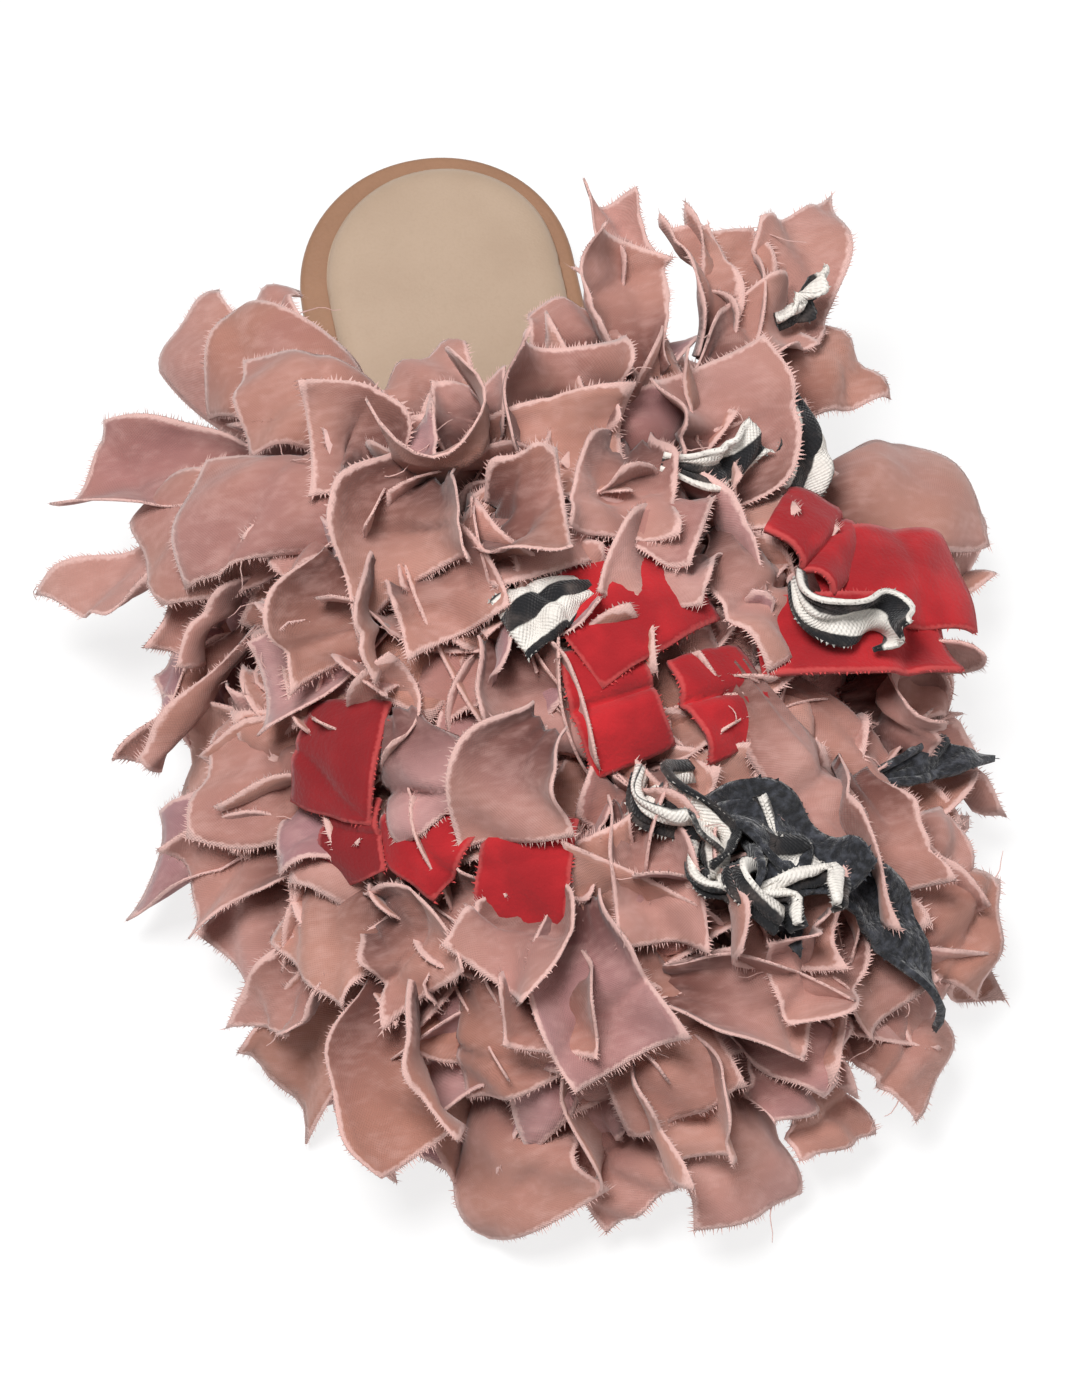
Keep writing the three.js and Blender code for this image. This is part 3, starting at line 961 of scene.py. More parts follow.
    def pad(self) -> bpy.types.Object:
        """Builds the padded insole, a low cushion with round sides.

        Returns:
            The piece.
        """
        plan = self.plan
        at = plan.stations(self.pad_rows)
        edge = plan.ring(plan.rim)
        inner = edge[: plan.steps + 1]
        outer = np.concatenate([edge[:1], edge[plan.steps :][::-1]])
        y = blend(inner[0, 1], inner[-1, 1], at)
        left = np.interp(y, inner[:, 1], inner[:, 0])
        right = np.interp(y, outer[:, 1], outer[:, 0])
        across = np.sin(np.linspace(-math.pi / 2, math.pi / 2, self.pad_columns)) * 0.5 + 0.5
        x = blend(left[:, None], right[:, None], across[None, :])
        grid = np.stack([x, np.broadcast_to(y[:, None], x.shape)], -1)
        fine = replace(plan, steps=self.pad_outline).ring(plan.rim)
        gaps = np.linalg.norm(grid[:, :, None, :] - fine[None, None, :, :], axis=-1).min(-1)
        full = 1 - np.clip(1 - gaps / self.pad_round, 0, 1) ** self.pad_power
        rise = full ** (1 / self.pad_power) * plan.pad_thickness
        crown = self.pad_crown * ease(gaps / self.crown_reach)
        base = plan.footbed_top(y / plan.length)[:, None] + plan.clearance
        start, run = self.pad_straight
        grid[:, :, 0] -= self.pad_shift * (1 - ease((y - start) / run))[:, None]
        top = np.dstack([grid, base + rise + crown])
        bottom = np.dstack([grid, np.broadcast_to(base, x.shape)])
        points = np.concatenate([top.reshape(-1, 3), bottom.reshape(-1, 3)])
        faces = closed_grid(*x.shape)
        piece = self.pieces.make("padded_insole", points, faces, ["beige"], "beige_leather", points[:, :2])
        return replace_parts(piece, "insole_pad")


def closed_grid(rows: int, columns: int) -> list:
    """Lists the faces of a closed body from two grids of points, the front one first.

    Args:
        rows: Rows of each grid.
        columns: Columns of each grid.

    Returns:
        Quads of the front, then of the back, then of the rim.
    """
    index = np.arange(rows * columns).reshape(rows, columns)
    a, b, c, d = index[:-1, :-1], index[:-1, 1:], index[1:, 1:], index[1:, :-1]
    front = np.stack([a, b, c, d], -1).reshape(-1, 4)
    back = front[:, ::-1] + rows * columns
    loop = np.concatenate([index[0, :-1], index[:-1, -1], index[-1, :0:-1], index[:0:-1, 0]])
    after = np.roll(loop, -1)
    rim = np.stack([loop, loop + rows * columns, after + rows * columns, after], -1)
    return np.concatenate([front, back, rim]).tolist()


@dataclass
class Upper:
    """The vamp: one wall that the pompoms are sewn to, with a lining and a bound collar.

    Attributes:
        plan: The sole's outline and seat.
        pieces: What makes the objects.
        wall: Thickness of canvas and lining.
        inset: From the footbed's edge.
        collar_height: Of the crest over the footbed at the collar.
        toe_height: Of the crest at its front end.
        crest_end: Where the crest ends, as a share of the sole.
        crest_shift: How far the crest turns to the big toe.
        collar: Where the collar runs: outer side, crest, inner side.
        crest: Share of the way from collar to toe, and share of the height.
        rows: Rows of the mesh.
        columns: Columns of the mesh.
        cloth_span: Size of the flat canvas, half across and along.
        tape_span: How far down both sides the tape reaches.
        tape_steps: Points along the tape.
        tape_round: Points round its section.
        tape_fold: How far forward it covers the wall.
        tape_lip: How far it stands out behind the collar's edge.
        tape_gap: How far it stands off the wall on each face.
        tape_ripple: Depth and pace of its ripples.
        tape_off: How far its middle is measured off both faces of the wall.
        tape_weave: Size of the flat tape between two points, along and round.
        crest_sink: How far the crest lies under its own height.
    """

    plan: SolePlan
    pieces: Pieces
    wall: float = 2.0
    inset: float = 0.9
    collar_height: float = 50.0
    toe_height: float = 24.0
    crest_end: float = 0.86
    crest_shift: float = 0.04
    collar: tuple = (0.49, 0.46, 0.475)
    crest: tuple = ((0.0, 1.0), (0.25, 0.84), (0.5, 0.56), (0.75, 0.26), (1.0, 0.0))
    rows: int = 44
    columns: int = 56
    cloth_span: tuple = (70, 130)
    tape_span: float = 0.985
    tape_steps: int = 90
    tape_round: int = 16
    tape_fold: float = 4.6
    tape_lip: float = 0.8
    tape_gap: float = 0.6
    tape_ripple: tuple = (0.06, 190)
    tape_off: float = 0.5
    tape_weave: tuple = (1.5, 1.0)
    crest_sink: float = 1.0

    def surface(self, share: np.ndarray, across: np.ndarray, depth: float) -> np.ndarray:
        """Returns points of the vamp.

        Args:
            share: From the collar, 0, to the toe, 1.
            across: From the outer edge, -1, over the crest, 0, to the inner edge, 1.
            depth: How far inside the outer face.

        Returns:
            The points.
        """
        plan = self.plan
        side = np.where(across < 0, -1.0, 1.0)
        up = (1 - np.abs(across)) * math.pi / 2
        inset = self.inset + depth
        start = np.where(across < 0, self.collar[0], self.collar[2])
        foot_at = blend(start, 1 - inset / plan.length, np.sin(share * math.pi / 2))
        reach = np.where(share < 1, np.maximum(plan.half(foot_at) - inset, 0), 0)
        foot_x = plan.centre(foot_at) - side * reach
        crest_at = blend(self.collar[1], self.crest_end - depth / plan.length, share)
        crest_x = plan.centre(crest_at) - self.crest_shift * plan.ball_width * share
        rise = plan.curve(self.crest, 1, share)
        rise = blend(self.toe_height, self.collar_height, rise) - depth
        inward = 1 - np.cos(up)
        x = blend(foot_x, crest_x, inward)
        y = blend(foot_at, crest_at, blend(np.sin(up), inward, share**3)) * plan.length
        foot_z = plan.footbed_top(foot_at) + plan.clearance
        crest_z = plan.footbed_top(crest_at) - self.crest_sink + rise
        return np.stack([x, y, blend(foot_z, crest_z, np.sin(up))], -1)

    def build(self) -> list[bpy.types.Object]:
        """Builds the vamp and the binding of its collar.

        Returns:
            The two pieces.
        """
        share = np.linspace(0, 1, self.rows + 1)[:, None]
        across = np.linspace(-1, 1, self.columns + 1)[None, :]
        share, across = np.broadcast_arrays(share, across)
        outer = self.surface(share, across, 0.0)
        inner = self.surface(share, across, self.wall)
        points = np.concatenate([outer.reshape(-1, 3), inner.reshape(-1, 3)])
        faces = closed_grid(*share.shape)
        lined = np.zeros(len(faces), int)
        front = self.rows * self.columns
        lined[front : 2 * front] = 1
        places = np.stack([across * self.cloth_span[0], share * self.cloth_span[1]], -1).reshape(-1, 2)
        places = np.concatenate([places, places])
        vamp = self.pieces.make(
            "vamp_canvas", points, faces, ["canvas", "lining"], "vamp_canvas", places, chosen=lined
        )
        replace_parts(vamp, "upper")
        return [vamp, self.binding()]

    def binding(self) -> bpy.types.Object:
        """Builds the cotton tape folded over the collar's edge.

        Returns:
            The piece.
        """
        across = np.linspace(-self.tape_span, self.tape_span, self.tape_steps)
        zero = np.zeros_like(across)
        outer = self.surface(zero, across, -self.tape_off)
        inner = self.surface(zero, across, self.wall + self.tape_off)
        ahead = unit(self.surface(zero + 0.04, across, 0.0) - self.surface(zero, across, 0.0))
        out = unit(outer - inner)
        middle = (outer + inner) / 2
        depth, pace = self.tape_ripple
        ring = []
        for turn in np.linspace(0, 2 * math.pi, self.tape_round + 1)[:-1]:
            reach = self.tape_fold if math.cos(turn) > 0 else self.tape_lip
            push = 1 + depth * np.sin(across * pace + turn * 3)[:, None]
            stand = math.sin(turn) * (self.wall / 2 + self.tape_gap)
            ring.append(middle + ahead * (math.cos(turn) * reach) + out * stand * push)
        grid = np.stack(ring, 1)
        rows, columns = grid.shape[:2]
        faces = []
        for i in range(rows - 1):
            for j in range(columns):
                a, b = i * columns + j, i * columns + (j + 1) % columns
                faces.append((a, a + columns, b + columns, b))
        faces.append(tuple(range(columns)))
        faces.append(tuple(reversed(range((rows - 1) * columns, rows * columns))))
        along, around = self.tape_weave
        places = np.broadcast_arrays(np.arange(rows)[:, None] * along, np.arange(columns) * around)
        places = np.stack(places, -1)
        return self.pieces.make(
            "collar_binding", grid.reshape(-1, 3), faces, ["tape"], "pink_cotton", places.reshape(-1, 2)
        )


@dataclass(frozen=True)
class Strip:
    """One torn strip, from where it is tied to its cut end.

    Attributes:
        cloth: What it is torn from.
        root: Where it comes out of its knot.
        tip: The middle of its cut end.
        width: At the cut end.
        cup: Arc across the strip at its end, in degrees. Above 0 its sides rise off the shoe.
        bow: How far its middle arches off the straight line.
        roll: Turn of its face about its length, in degrees. At 90 it stands on edge.
        wave: Depth of an S-bend along it.
        hook: How far its end curls off the shoe.
        twist: Turn from root to end, in degrees.
        slant: Slope of the cut end.
        tone: From mauve, 0, to peach, 1. On felt, a tone over 0.6 paints the strip in shade.
    """

    cloth: Cloth
    root: tuple
    tip: tuple
    width: float
    cup: float = -30.0
    bow: float = 6.0
    roll: float = 0.0
    wave: float = 0.0
    hook: float = 0.0
    twist: float = 0.0
    slant: float = 0.0
    tone: float = 0.5


@dataclass
class ClothCutter:
    """Turns strips into cloth: curved, creased, with thickness and frayed edges.

    Attributes:
        shoe_middle: The point that faces of strips turn away from.
        shoe_squeeze: How much each axis counts for that.
        pinch: Width at the root, as a share of the width at the end.
        gather: Arc across the root, in degrees.
        felt_pinch: The same share for stiff felt.
        felt_gather: The same arc for stiff felt.
        arc_pace: How soon the arc across opens to its own, with 1 for the whole length.
        width_pace: How soon the width does.
        loose_pace: How soon flutter and creases are at full depth.
        felt_ease: How much of the flutter, twist and creases stiff felt takes.
        felt_pleat: Depth of felt's pleats at the root.
        pleat: Depth of the pleats at the root.
        flutter: Least depth of the waves of the edges, and what chance adds.
        crease: Depth of the broad creases.
        fold: Depth of the one sharp fold, at most.
        fold_width: Its width, as a share of the length.
        floor: How near the floor the cloth comes.
        settle: Height over that from which it eases onto the floor.
        sway: How far a strip bends aside.
        slant_spread: How much the slope of the cut ends varies.
        twist_spread: How much the twist varies, in degrees.
        corner_curl: How far the corners of the end curl.
        tooth_pitch: Gap between torn threads.
        tooth_length: Least length of a torn thread, and what chance adds.
        tooth_stray: How far it strays.
        tooth_loss: Share of the threads that are gone.
        tooth_half: Half of a torn thread's width, as a share of that gap.
        thick_pitch: How many times wider the gap is in the thick cloths.
        thick_reach: How many times shorter their threads are.
        thread_steps: Fewest steps of a long loose thread, and one more than the most.
        thread_pitch: Least length of a step, and what chance adds.
        thread_lean: How far a thread leans at its start.
        thread_wander: How far it turns at each step.
        thread_weight: How far it drops at each step.
        thread_floor: Lowest place of it.
        thread_radius: At its start and its end.
        near_mesh: Rows and columns of a strip that shows from near.
        far_mesh: Rows and columns of one that doesn't.
    """

    shoe_middle: tuple = (-3.0, 155.0, -6.0)
    shoe_squeeze: tuple = (1.0, 0.34, 0.9)
    pinch: float = 0.5
    gather: float = 170.0
    felt_pinch: float = 0.95
    felt_gather: float = 25.0
    arc_pace: float = 1.1
    width_pace: float = 2.4
    loose_pace: float = 1.3
    felt_ease: float = 0.3
    felt_pleat: float = 0.2
    pleat: float = 1.2
    flutter: tuple = (0.8, 3.2)
    crease: float = 1.3
    fold: float = 2.8
    fold_width: float = 0.06
    floor: float = 1.2
    settle: float = 3.0
    sway: float = 9.0
    slant_spread: float = 0.34
    twist_spread: float = 30.0
    corner_curl: float = 4.5
    tooth_pitch: float = 0.46
    tooth_length: tuple = (0.55, 1.2)
    tooth_stray: float = 0.8
    tooth_loss: float = 0.12
    tooth_half: float = 0.3
    thick_pitch: int = 2
    thick_reach: float = 0.5
    thread_steps: tuple = (3, 7)
    thread_pitch: tuple = (0.9, 1.2)
    thread_lean: float = 1.2
    thread_wander: float = 0.9
    thread_weight: float = 0.06
    thread_floor: float = 0.4
    thread_radius: tuple = (0.17, 0.08)
    near_mesh: tuple = (26, 13)
    far_mesh: tuple = (17, 9)

    def outward(self, point: np.ndarray) -> np.ndarray:
        """Returns the direction off the shoe at a point of its rag cover."""
        return unit((point - np.array(self.shoe_middle)) * np.array(self.shoe_squeeze))

    def axes(self, strip: Strip) -> tuple[np.ndarray, np.ndarray, np.ndarray]:
        """Works out how a strip lies.

        Args:
            strip: The strip.

        Returns:
            Its straight line from root to tip, the way its face looks, and the way it runs.
        """
        root, tip = np.array(strip.root, float), np.array(strip.tip, float)
        chord = tip - root
        ahead = unit(chord)
        out = self.outward((root + tip) / 2)
        out = unit(out - ahead * (out @ ahead))
        side = np.cross(ahead, out)
        turn = math.radians(strip.roll)
        return chord, out * math.cos(turn) + side * math.sin(turn), ahead

    def place(self, strip: Strip, dice: Sequence[float], t: np.ndarray, u: np.ndarray) -> np.ndarray:
        """Returns points of a strip's middle surface.

        Args:
            strip: The strip.
            dice: Numbers from 0 to 1 that vary its creases.
            t: Share of the way from root to tip.
            u: Place across, -0.5 to 0.5.

        Returns:
            The points.
        """
        chord, face, ahead = self.axes(strip)
        stiff = strip.cloth is Cloth.FELT
        give = self.felt_ease if stiff else 1.0
        slant = strip.slant + (dice[12] - 0.5) * self.slant_spread * give
        v = (t * (1 + slant * u))[..., None]
        u = u[..., None]
        two_pi = 2 * math.pi
        lift = strip.bow * 4 * v * (1 - v) + strip.wave * np.sin(two_pi * v) + strip.hook * v**3
        slope = strip.bow * 4 * (1 - 2 * v) + strip.wave * two_pi * np.cos(two_pi * v)
        slope = slope + strip.hook * 3 * v**2
        aside = np.cross(ahead, face) * self.sway * (dice[13] - 0.5) * give
        spine = np.array(strip.root, float) + chord * v + face * lift + aside * np.sin(math.pi * v)
        tangent = unit(chord + face * slope + aside * math.pi * np.cos(math.pi * v))
        normal = unit(face - tangent * (tangent @ face)[..., None])
        side = np.cross(tangent, normal)
        turn = math.radians(strip.twist + (dice[14] - 0.5) * self.twist_spread * give) * v
        normal, side = (
            normal * np.cos(turn) + side * np.sin(turn),
            side * np.cos(turn) - normal * np.sin(turn),
        )
        gather = math.copysign(self.felt_gather if stiff else self.gather, strip.cup or 1)
        arc = np.radians(blend(gather, strip.cup, ease(v * self.arc_pace)))
        arc = np.where(np.abs(arc) < 0.02, 0.02, arc)
        pinch = self.felt_pinch if stiff else self.pinch
        width = strip.width * blend(pinch, 1.0, ease(v * self.width_pace))
        bend = arc * u
        across = side * (width / arc * np.sin(bend))
        rise = width / arc * (1 - np.cos(bend))
        loose = ease(v * self.loose_pace) * give
        edge = np.abs(2 * u) ** 1.6
        phase = np.where(u > 0, dice[0], dice[1]) * two_pi
        least, more = self.flutter
        flutter = (least + more * dice[2] ** 1.5) * edge * loose
        flutter = flutter * np.sin(two_pi * (0.9 + dice[3]) * v + phase)
        pleat = (self.felt_pleat if stiff else self.pleat) * np.clip(1 - v, 0, 1) ** 1.8
        pleat = pleat * np.cos(two_pi * (3 + dice[4]) * u + dice[5] * 6)
        crease = self.crease * loose
        crease = crease * np.sin(two_pi * (v * (1 + dice[6]) + u * (1 + dice[7])) + dice[8] * 6)
        off_fold = v + u * (dice[15] - 0.5) - 0.35 - 0.5 * dice[10]
        fold = self.fold * dice[9] * np.exp(-((off_fold / self.fold_width) ** 2))
        corner = self.corner_curl * (dice[16] - 0.4) * give * np.clip(v, 0, 1) ** 5 * edge
        points = spine + across + normal * (rise + flutter + pleat + crease - fold + corner)
        low = points[..., 2] < self.floor + self.settle
        under = np.minimum(points[..., 2] - self.floor - self.settle, 0)
        settled = self.floor + self.settle * np.exp(under / self.settle)
        points[..., 2] = np.where(low, settled, points[..., 2])
        return points

    def cut(self, strip: Strip, number: int, fine: bool) -> dict[str, Any]:
        """Builds one strip.

        Args:
            strip: The strip.
            number: Its own number, which settles its creases and fray.
            fine: True for a strip that shows from near.

        Returns:
            Its points, quads, triangles, places and marks.
        """
        dice = np.random.default_rng(FIRST_STRIP + number)
        rolls = dice.random(18)
        rows, columns = self.near_mesh if fine else self.far_mesh
        t, u = np.meshgrid(np.linspace(0, 1, rows), np.linspace(-0.5, 0.5, columns), indexing="ij")
        middle = self.place(strip, rolls, t, u)
        length = float(np.linalg.norm(np.diff(middle[:, columns // 2], axis=0), axis=1).sum())
        normal = unit(np.cross(np.gradient(middle, axis=1), np.gradient(middle, axis=0)))
        half = THICKNESS[strip.cloth] / 2
        points = np.concatenate([middle + normal * half, middle - normal * half])
        side_gap = (0.5 - np.abs(u)) * strip.width * blend(0.5, 1.0, t)
        gap = np.minimum(side_gap, (1 - t) * length)
        place = np.stack([(u + 0.5) * strip.width + rolls[11] * 40, t * length], -1).reshape(-1, 2)
        body = {
            "points": points.reshape(-1, 3),
            "quads": np.array(closed_grid(rows, columns)),
            "places": np.concatenate([place, place]),
            "edge": np.concatenate([gap.ravel(), gap.ravel()]),
        }
        fray = self.fray(strip, rolls, dice, length)
        body["tone"] = np.full(len(body["points"]) + len(fray), strip.tone)
        body["triangles"] = np.arange(len(fray)).reshape(-1, 3) + len(body["points"])
        body["edge"] = np.concatenate([body["edge"], np.zeros(len(fray))])
        body["places"] = np.concatenate([body["places"], np.zeros((len(fray), 2))])
        body["points"] = np.concatenate([body["points"], fray]) if len(fray) else body["points"]
        return body

    def fray(
        self, strip: Strip, rolls: Sequence[float], dice: np.random.Generator, length: float
    ) -> np.ndarray:
        """Builds the short torn threads along a strip's edges, and at most one long loose one.

        Args:
            strip: The strip.
            rolls: The numbers that vary its creases.
            dice: The source of its random numbers.
            length: The strip's length.

        Returns:
            Corners of triangles, three by three.
        """
        thin = strip.cloth is Cloth.COTTON
        pitch = self.tooth_pitch if thin else self.tooth_pitch * self.thick_pitch
        reach = 1.0 if thin else self.thick_reach
        sides = max(int(length * 0.85 / pitch), 2)
        ends = max(int(strip.width / pitch), 2)
        t = np.concatenate([np.linspace(0.15, 1, sides)] * 2 + [np.ones(ends)])
        u = np.concatenate([np.full(sides, -0.5), np.full(sides, 0.5), np.linspace(-0.5, 0.5, ends)])
        end = np.concatenate([np.zeros(2 * sides, bool), np.ones(ends, bool)])
        step_t = np.where(end, 0.0, self.tooth_half * pitch / length)
        step_u = np.where(end, self.tooth_half * pitch / strip.width, 0.0)
        first = self.place(strip, rolls, t - step_t, u - step_u)
        second = self.place(strip, rolls, t + step_t, u + step_u)
        inside = self.place(strip, rolls, np.where(end, t - 0.03, t), np.where(end, u, u * 0.94))
        out = unit((first + second) / 2 - inside)
        least, more = self.tooth_length
        size = reach * (least + more * dice.random(len(t)) ** 1.6)
        stray = (dice.random((len(t), 3)) - 0.5) * self.tooth_stray
        tip = (first + second) / 2 + out * size[:, None] + stray
        teeth = np.stack([first, second, tip], 1)[dice.random(len(t)) > self.tooth_loss]
        parts = [teeth.reshape(-1, 3)]
        if thin:
            for _ in range(int(dice.integers(0, 2))):
                k = int(dice.integers(len(t)))
                parts.append(self.thread((first[k] + second[k]) / 2, out[k], dice))
        return np.concatenate(parts)

    def thread(self, start: np.ndarray, out: np.ndarray, dice: np.random.Generator) -> np.ndarray:
        """Builds one loose thread as a thin three-sided rod.

        Args:
            start: Where it leaves the cloth.
            out: The way it leaves.
            dice: The source of its random numbers.

        Returns:
            Corners of triangles, three by three.
        """
        steps = int(dice.integers(*self.thread_steps))
        least, more = self.thread_pitch
        pitch = least + more * dice.random()
        heading = unit(out + (dice.random(3) - 0.5) * self.thread_lean)
        drop = np.array([0, 0, self.thread_weight])
        path = [start]
        for _ in range(steps):
            heading = unit(heading + (dice.random(3) - 0.5) * self.thread_wander - drop)
            path.append(path[-1] + heading * pitch)
        route = np.array(path)
        route[:, 2] = np.maximum(route[:, 2], self.thread_floor)
        ahead = unit(np.gradient(route, axis=0))
        first = unit(np.cross(ahead, np.array([0.3, 0.2, 0.93])))
        second = np.cross(ahead, first)
        thick = np.linspace(*self.thread_radius, len(route))[:, None]
        turns = [0.0, 2 * math.pi / 3, 4 * math.pi / 3]
        rods = [route + (first * math.cos(a) + second * math.sin(a)) * thick for a in turns]
        corners = []
        for k in range(3):
            one, two = rods[k], rods[(k + 1) % 3]
            corners.append(np.stack([one[:-1], one[1:], two[1:]], 1))
            corners.append(np.stack([one[:-1], two[1:], two[:-1]], 1))
        return np.concatenate(corners).reshape(-1, 3)


@dataclass
class Sight:
    """The photograph's line of sight, by which a place read at one height is raised to another.

    Attributes:
        azimuth: Of the camera, in degrees.
        elevation: Of the camera, in degrees.
    """

    azimuth: float = 168.0
    elevation: float = 62.0

    def raised(self, point: Sequence[float], plane: float) -> tuple:
        """Returns the point at its own height that is seen where x and y are read on a level plane.

        Args:
            point: x and y as read on the plane, and the point's real height.
            plane: Height of the plane that x and y were read on.

        Returns:
            The point.
        """
        x, y, z = point
        back = (z - plane) / math.tan(math.radians(self.elevation))
        turn = math.radians(self.azimuth)
        return (x + back * math.sin(turn), y - back * math.cos(turn), z)

    def toward(self) -> np.ndarray:
        """Works out the direction from the shoe to the camera.

        Returns:
            The direction.
        """
        turn, tilt = math.radians(self.azimuth), math.radians(self.elevation)
        flat = math.cos(tilt)
        return np.array([math.sin(turn) * flat, -math.cos(turn) * flat, math.sin(tilt)])


COTTON, FELT, KNIT, WOOL = Cloth.COTTON, Cloth.FELT, Cloth.KNIT, Cloth.WOOL

# Strips of the rear half, with x and y read 60 mm above the floor.
REAR = (
    Strip(COTTON, (40, 92, 50), (45, 55, 46), 18, -80),
    Strip(COTTON, (36, 96, 50), (62, 58, 48), 24, -90, 6),
    Strip(COTTON, (26, 100, 58), (57, 67, 56), 28, -50, 5, tone=0.7),
    Strip(COTTON, (18, 98, 72), (52, 82, 66), 25, -40, 5, tone=0.6),
    Strip(COTTON, (17, 112, 75), (69, 107, 63), 30, -75, 8, tone=0.45),
    Strip(COTTON, (34, 115, 62), (80, 112, 46), 32, -40, 8, slant=0.2, tone=0.6),
    Strip(COTTON, (46, 106, 45), (88, 92, 42), 26, 120, 4, tone=0.3),
    Strip(COTTON, (58, 118, 40), (97, 124, 30), 22, 70, 3, slant=0.3, tone=0.4),
    Strip(COTTON, (50, 122, 52), (73, 141, 38), 26, 230, 3, tone=0.5),
    Strip(COTTON, (58, 136, 40), (87, 165, 26), 19, 300, 2, tone=0.6),
    Strip(COTTON, (56, 140, 30), (84, 150, 18), 26, -20, 3, tone=0.0),
    Strip(COTTON, (30, 118, 70), (52, 122, 66), 16, 60, 3, tone=0.4),
    Strip(COTTON, (34, 126, 78), (38, 148, 70), 36, 190, 3, tone=0.9),
    Strip(COTTON, (16, 110, 84), (20, 131, 80), 38, 150, 4, tone=0.8),
    Strip(COTTON, (8, 116, 70), (7, 104, 97), 42, 220, 2, tone=0.7),
    Strip(COTTON, (14, 104, 70), (12, 79, 68), 22, -60, 5, tone=0.5),
    Strip(COTTON, (6, 106, 72), (3, 89, 80), 20, 140, 3, tone=0.4),
    Strip(COTTON, (-12, 104, 72), (-15, 84, 86), 36, 170, 3, tone=0.6),
    Strip(COTTON, (-33, 84, 66), (-34, 50, 72), 15, 170, 3, tone=0.4),
    Strip(COTTON, (-34, 96, 72), (-35, 60, 82), 26, 110, -3, tone=0.6),
    Strip(COTTON, (-46, 92, 66), (-48, 60, 74), 14, 100, 3, tone=0.5),
    Strip(COTTON, (-52, 97, 62), (-54, 62, 68), 19, 60, 3, slant=-0.2, tone=0.6),
    Strip(COTTON, (-56, 98, 60), (-74, 60, 60), 23, 40, 4, slant=0.25, tone=0.5),
    Strip(COTTON, (-46, 98, 68), (-68, 86, 62), 20, 110, 3, tone=0.5),
    Strip(COTTON, (-54, 102, 62), (-80, 96, 54), 26, -30, 4, tone=0.7),
    Strip(COTTON, (-36, 124, 66), (-44, 95, 76), 38, 125, 3, tone=0.5),
    Strip(KNIT, (-60, 100, 70), (-58, 127, 64), 14, -30, 4),
    Strip(KNIT, (-32, 115, 80), (-53, 113, 74), 9, 0, 3, roll=50),
    Strip(KNIT, (-64, 86, 68), (-75, 77, 68), 6, 0, 2, roll=70),
    Strip(COTTON, (-58, 132, 50), (-97, 131, 32), 35, -55, 6, tone=0.6),
    Strip(COTTON, (-64, 142, 40), (-99, 146, 22), 22, -30, 4, tone=0.4),
    Strip(COTTON, (-68, 148, 34), (-92, 153, 20), 16, 20, 3, tone=1.0),
    Strip(FELT, (-54, 130, 70), (-66, 149, 62), 21, -30, 3),
    Strip(FELT, (-58, 150, 64), (-89, 156, 48), 25, -30, 4),
    Strip(FELT, (-42, 160, 68), (-81, 168, 52), 19, 40, 4),
    Strip(KNIT, (-54, 148, 72), (-71, 166, 70), 11, 0, 2, roll=85, wave=6),
    Strip(COTTON, (-43, 132, 66), (-50, 163, 64), 27, -45, 5, tone=0.5),
    Strip(COTTON, (-36, 138, 68), (-21, 147, 78), 24, 90, 3, tone=0.4),
    Strip(FELT, (-32, 142, 74), (-4, 152, 80), 25, -30, 3),
    Strip(KNIT, (-12, 141, 80), (7, 147, 84), 15, -60, 3),
    Strip(COTTON, (-26, 110, 74), (-18, 131, 82), 25, 60, 3, tone=0.5),
    Strip(COTTON, (-8, 118, 80), (-4, 136, 84), 26, -60, 4, tone=0.4),
    Strip(COTTON, (26, 128, 74), (16, 146, 78), 26, 80, 3, tone=0.6),
    Strip(COTTON, (-20, 96, 72), (-24, 74, 76), 22, -60, 4, tone=0.5),
    Strip(COTTON, (4, 124, 82), (-10, 122, 92), 28, 90, 3, tone=0.7),
    Strip(COTTON, (28, 106, 74), (38, 96, 80), 26, 70, 3, tone=0.5),
)

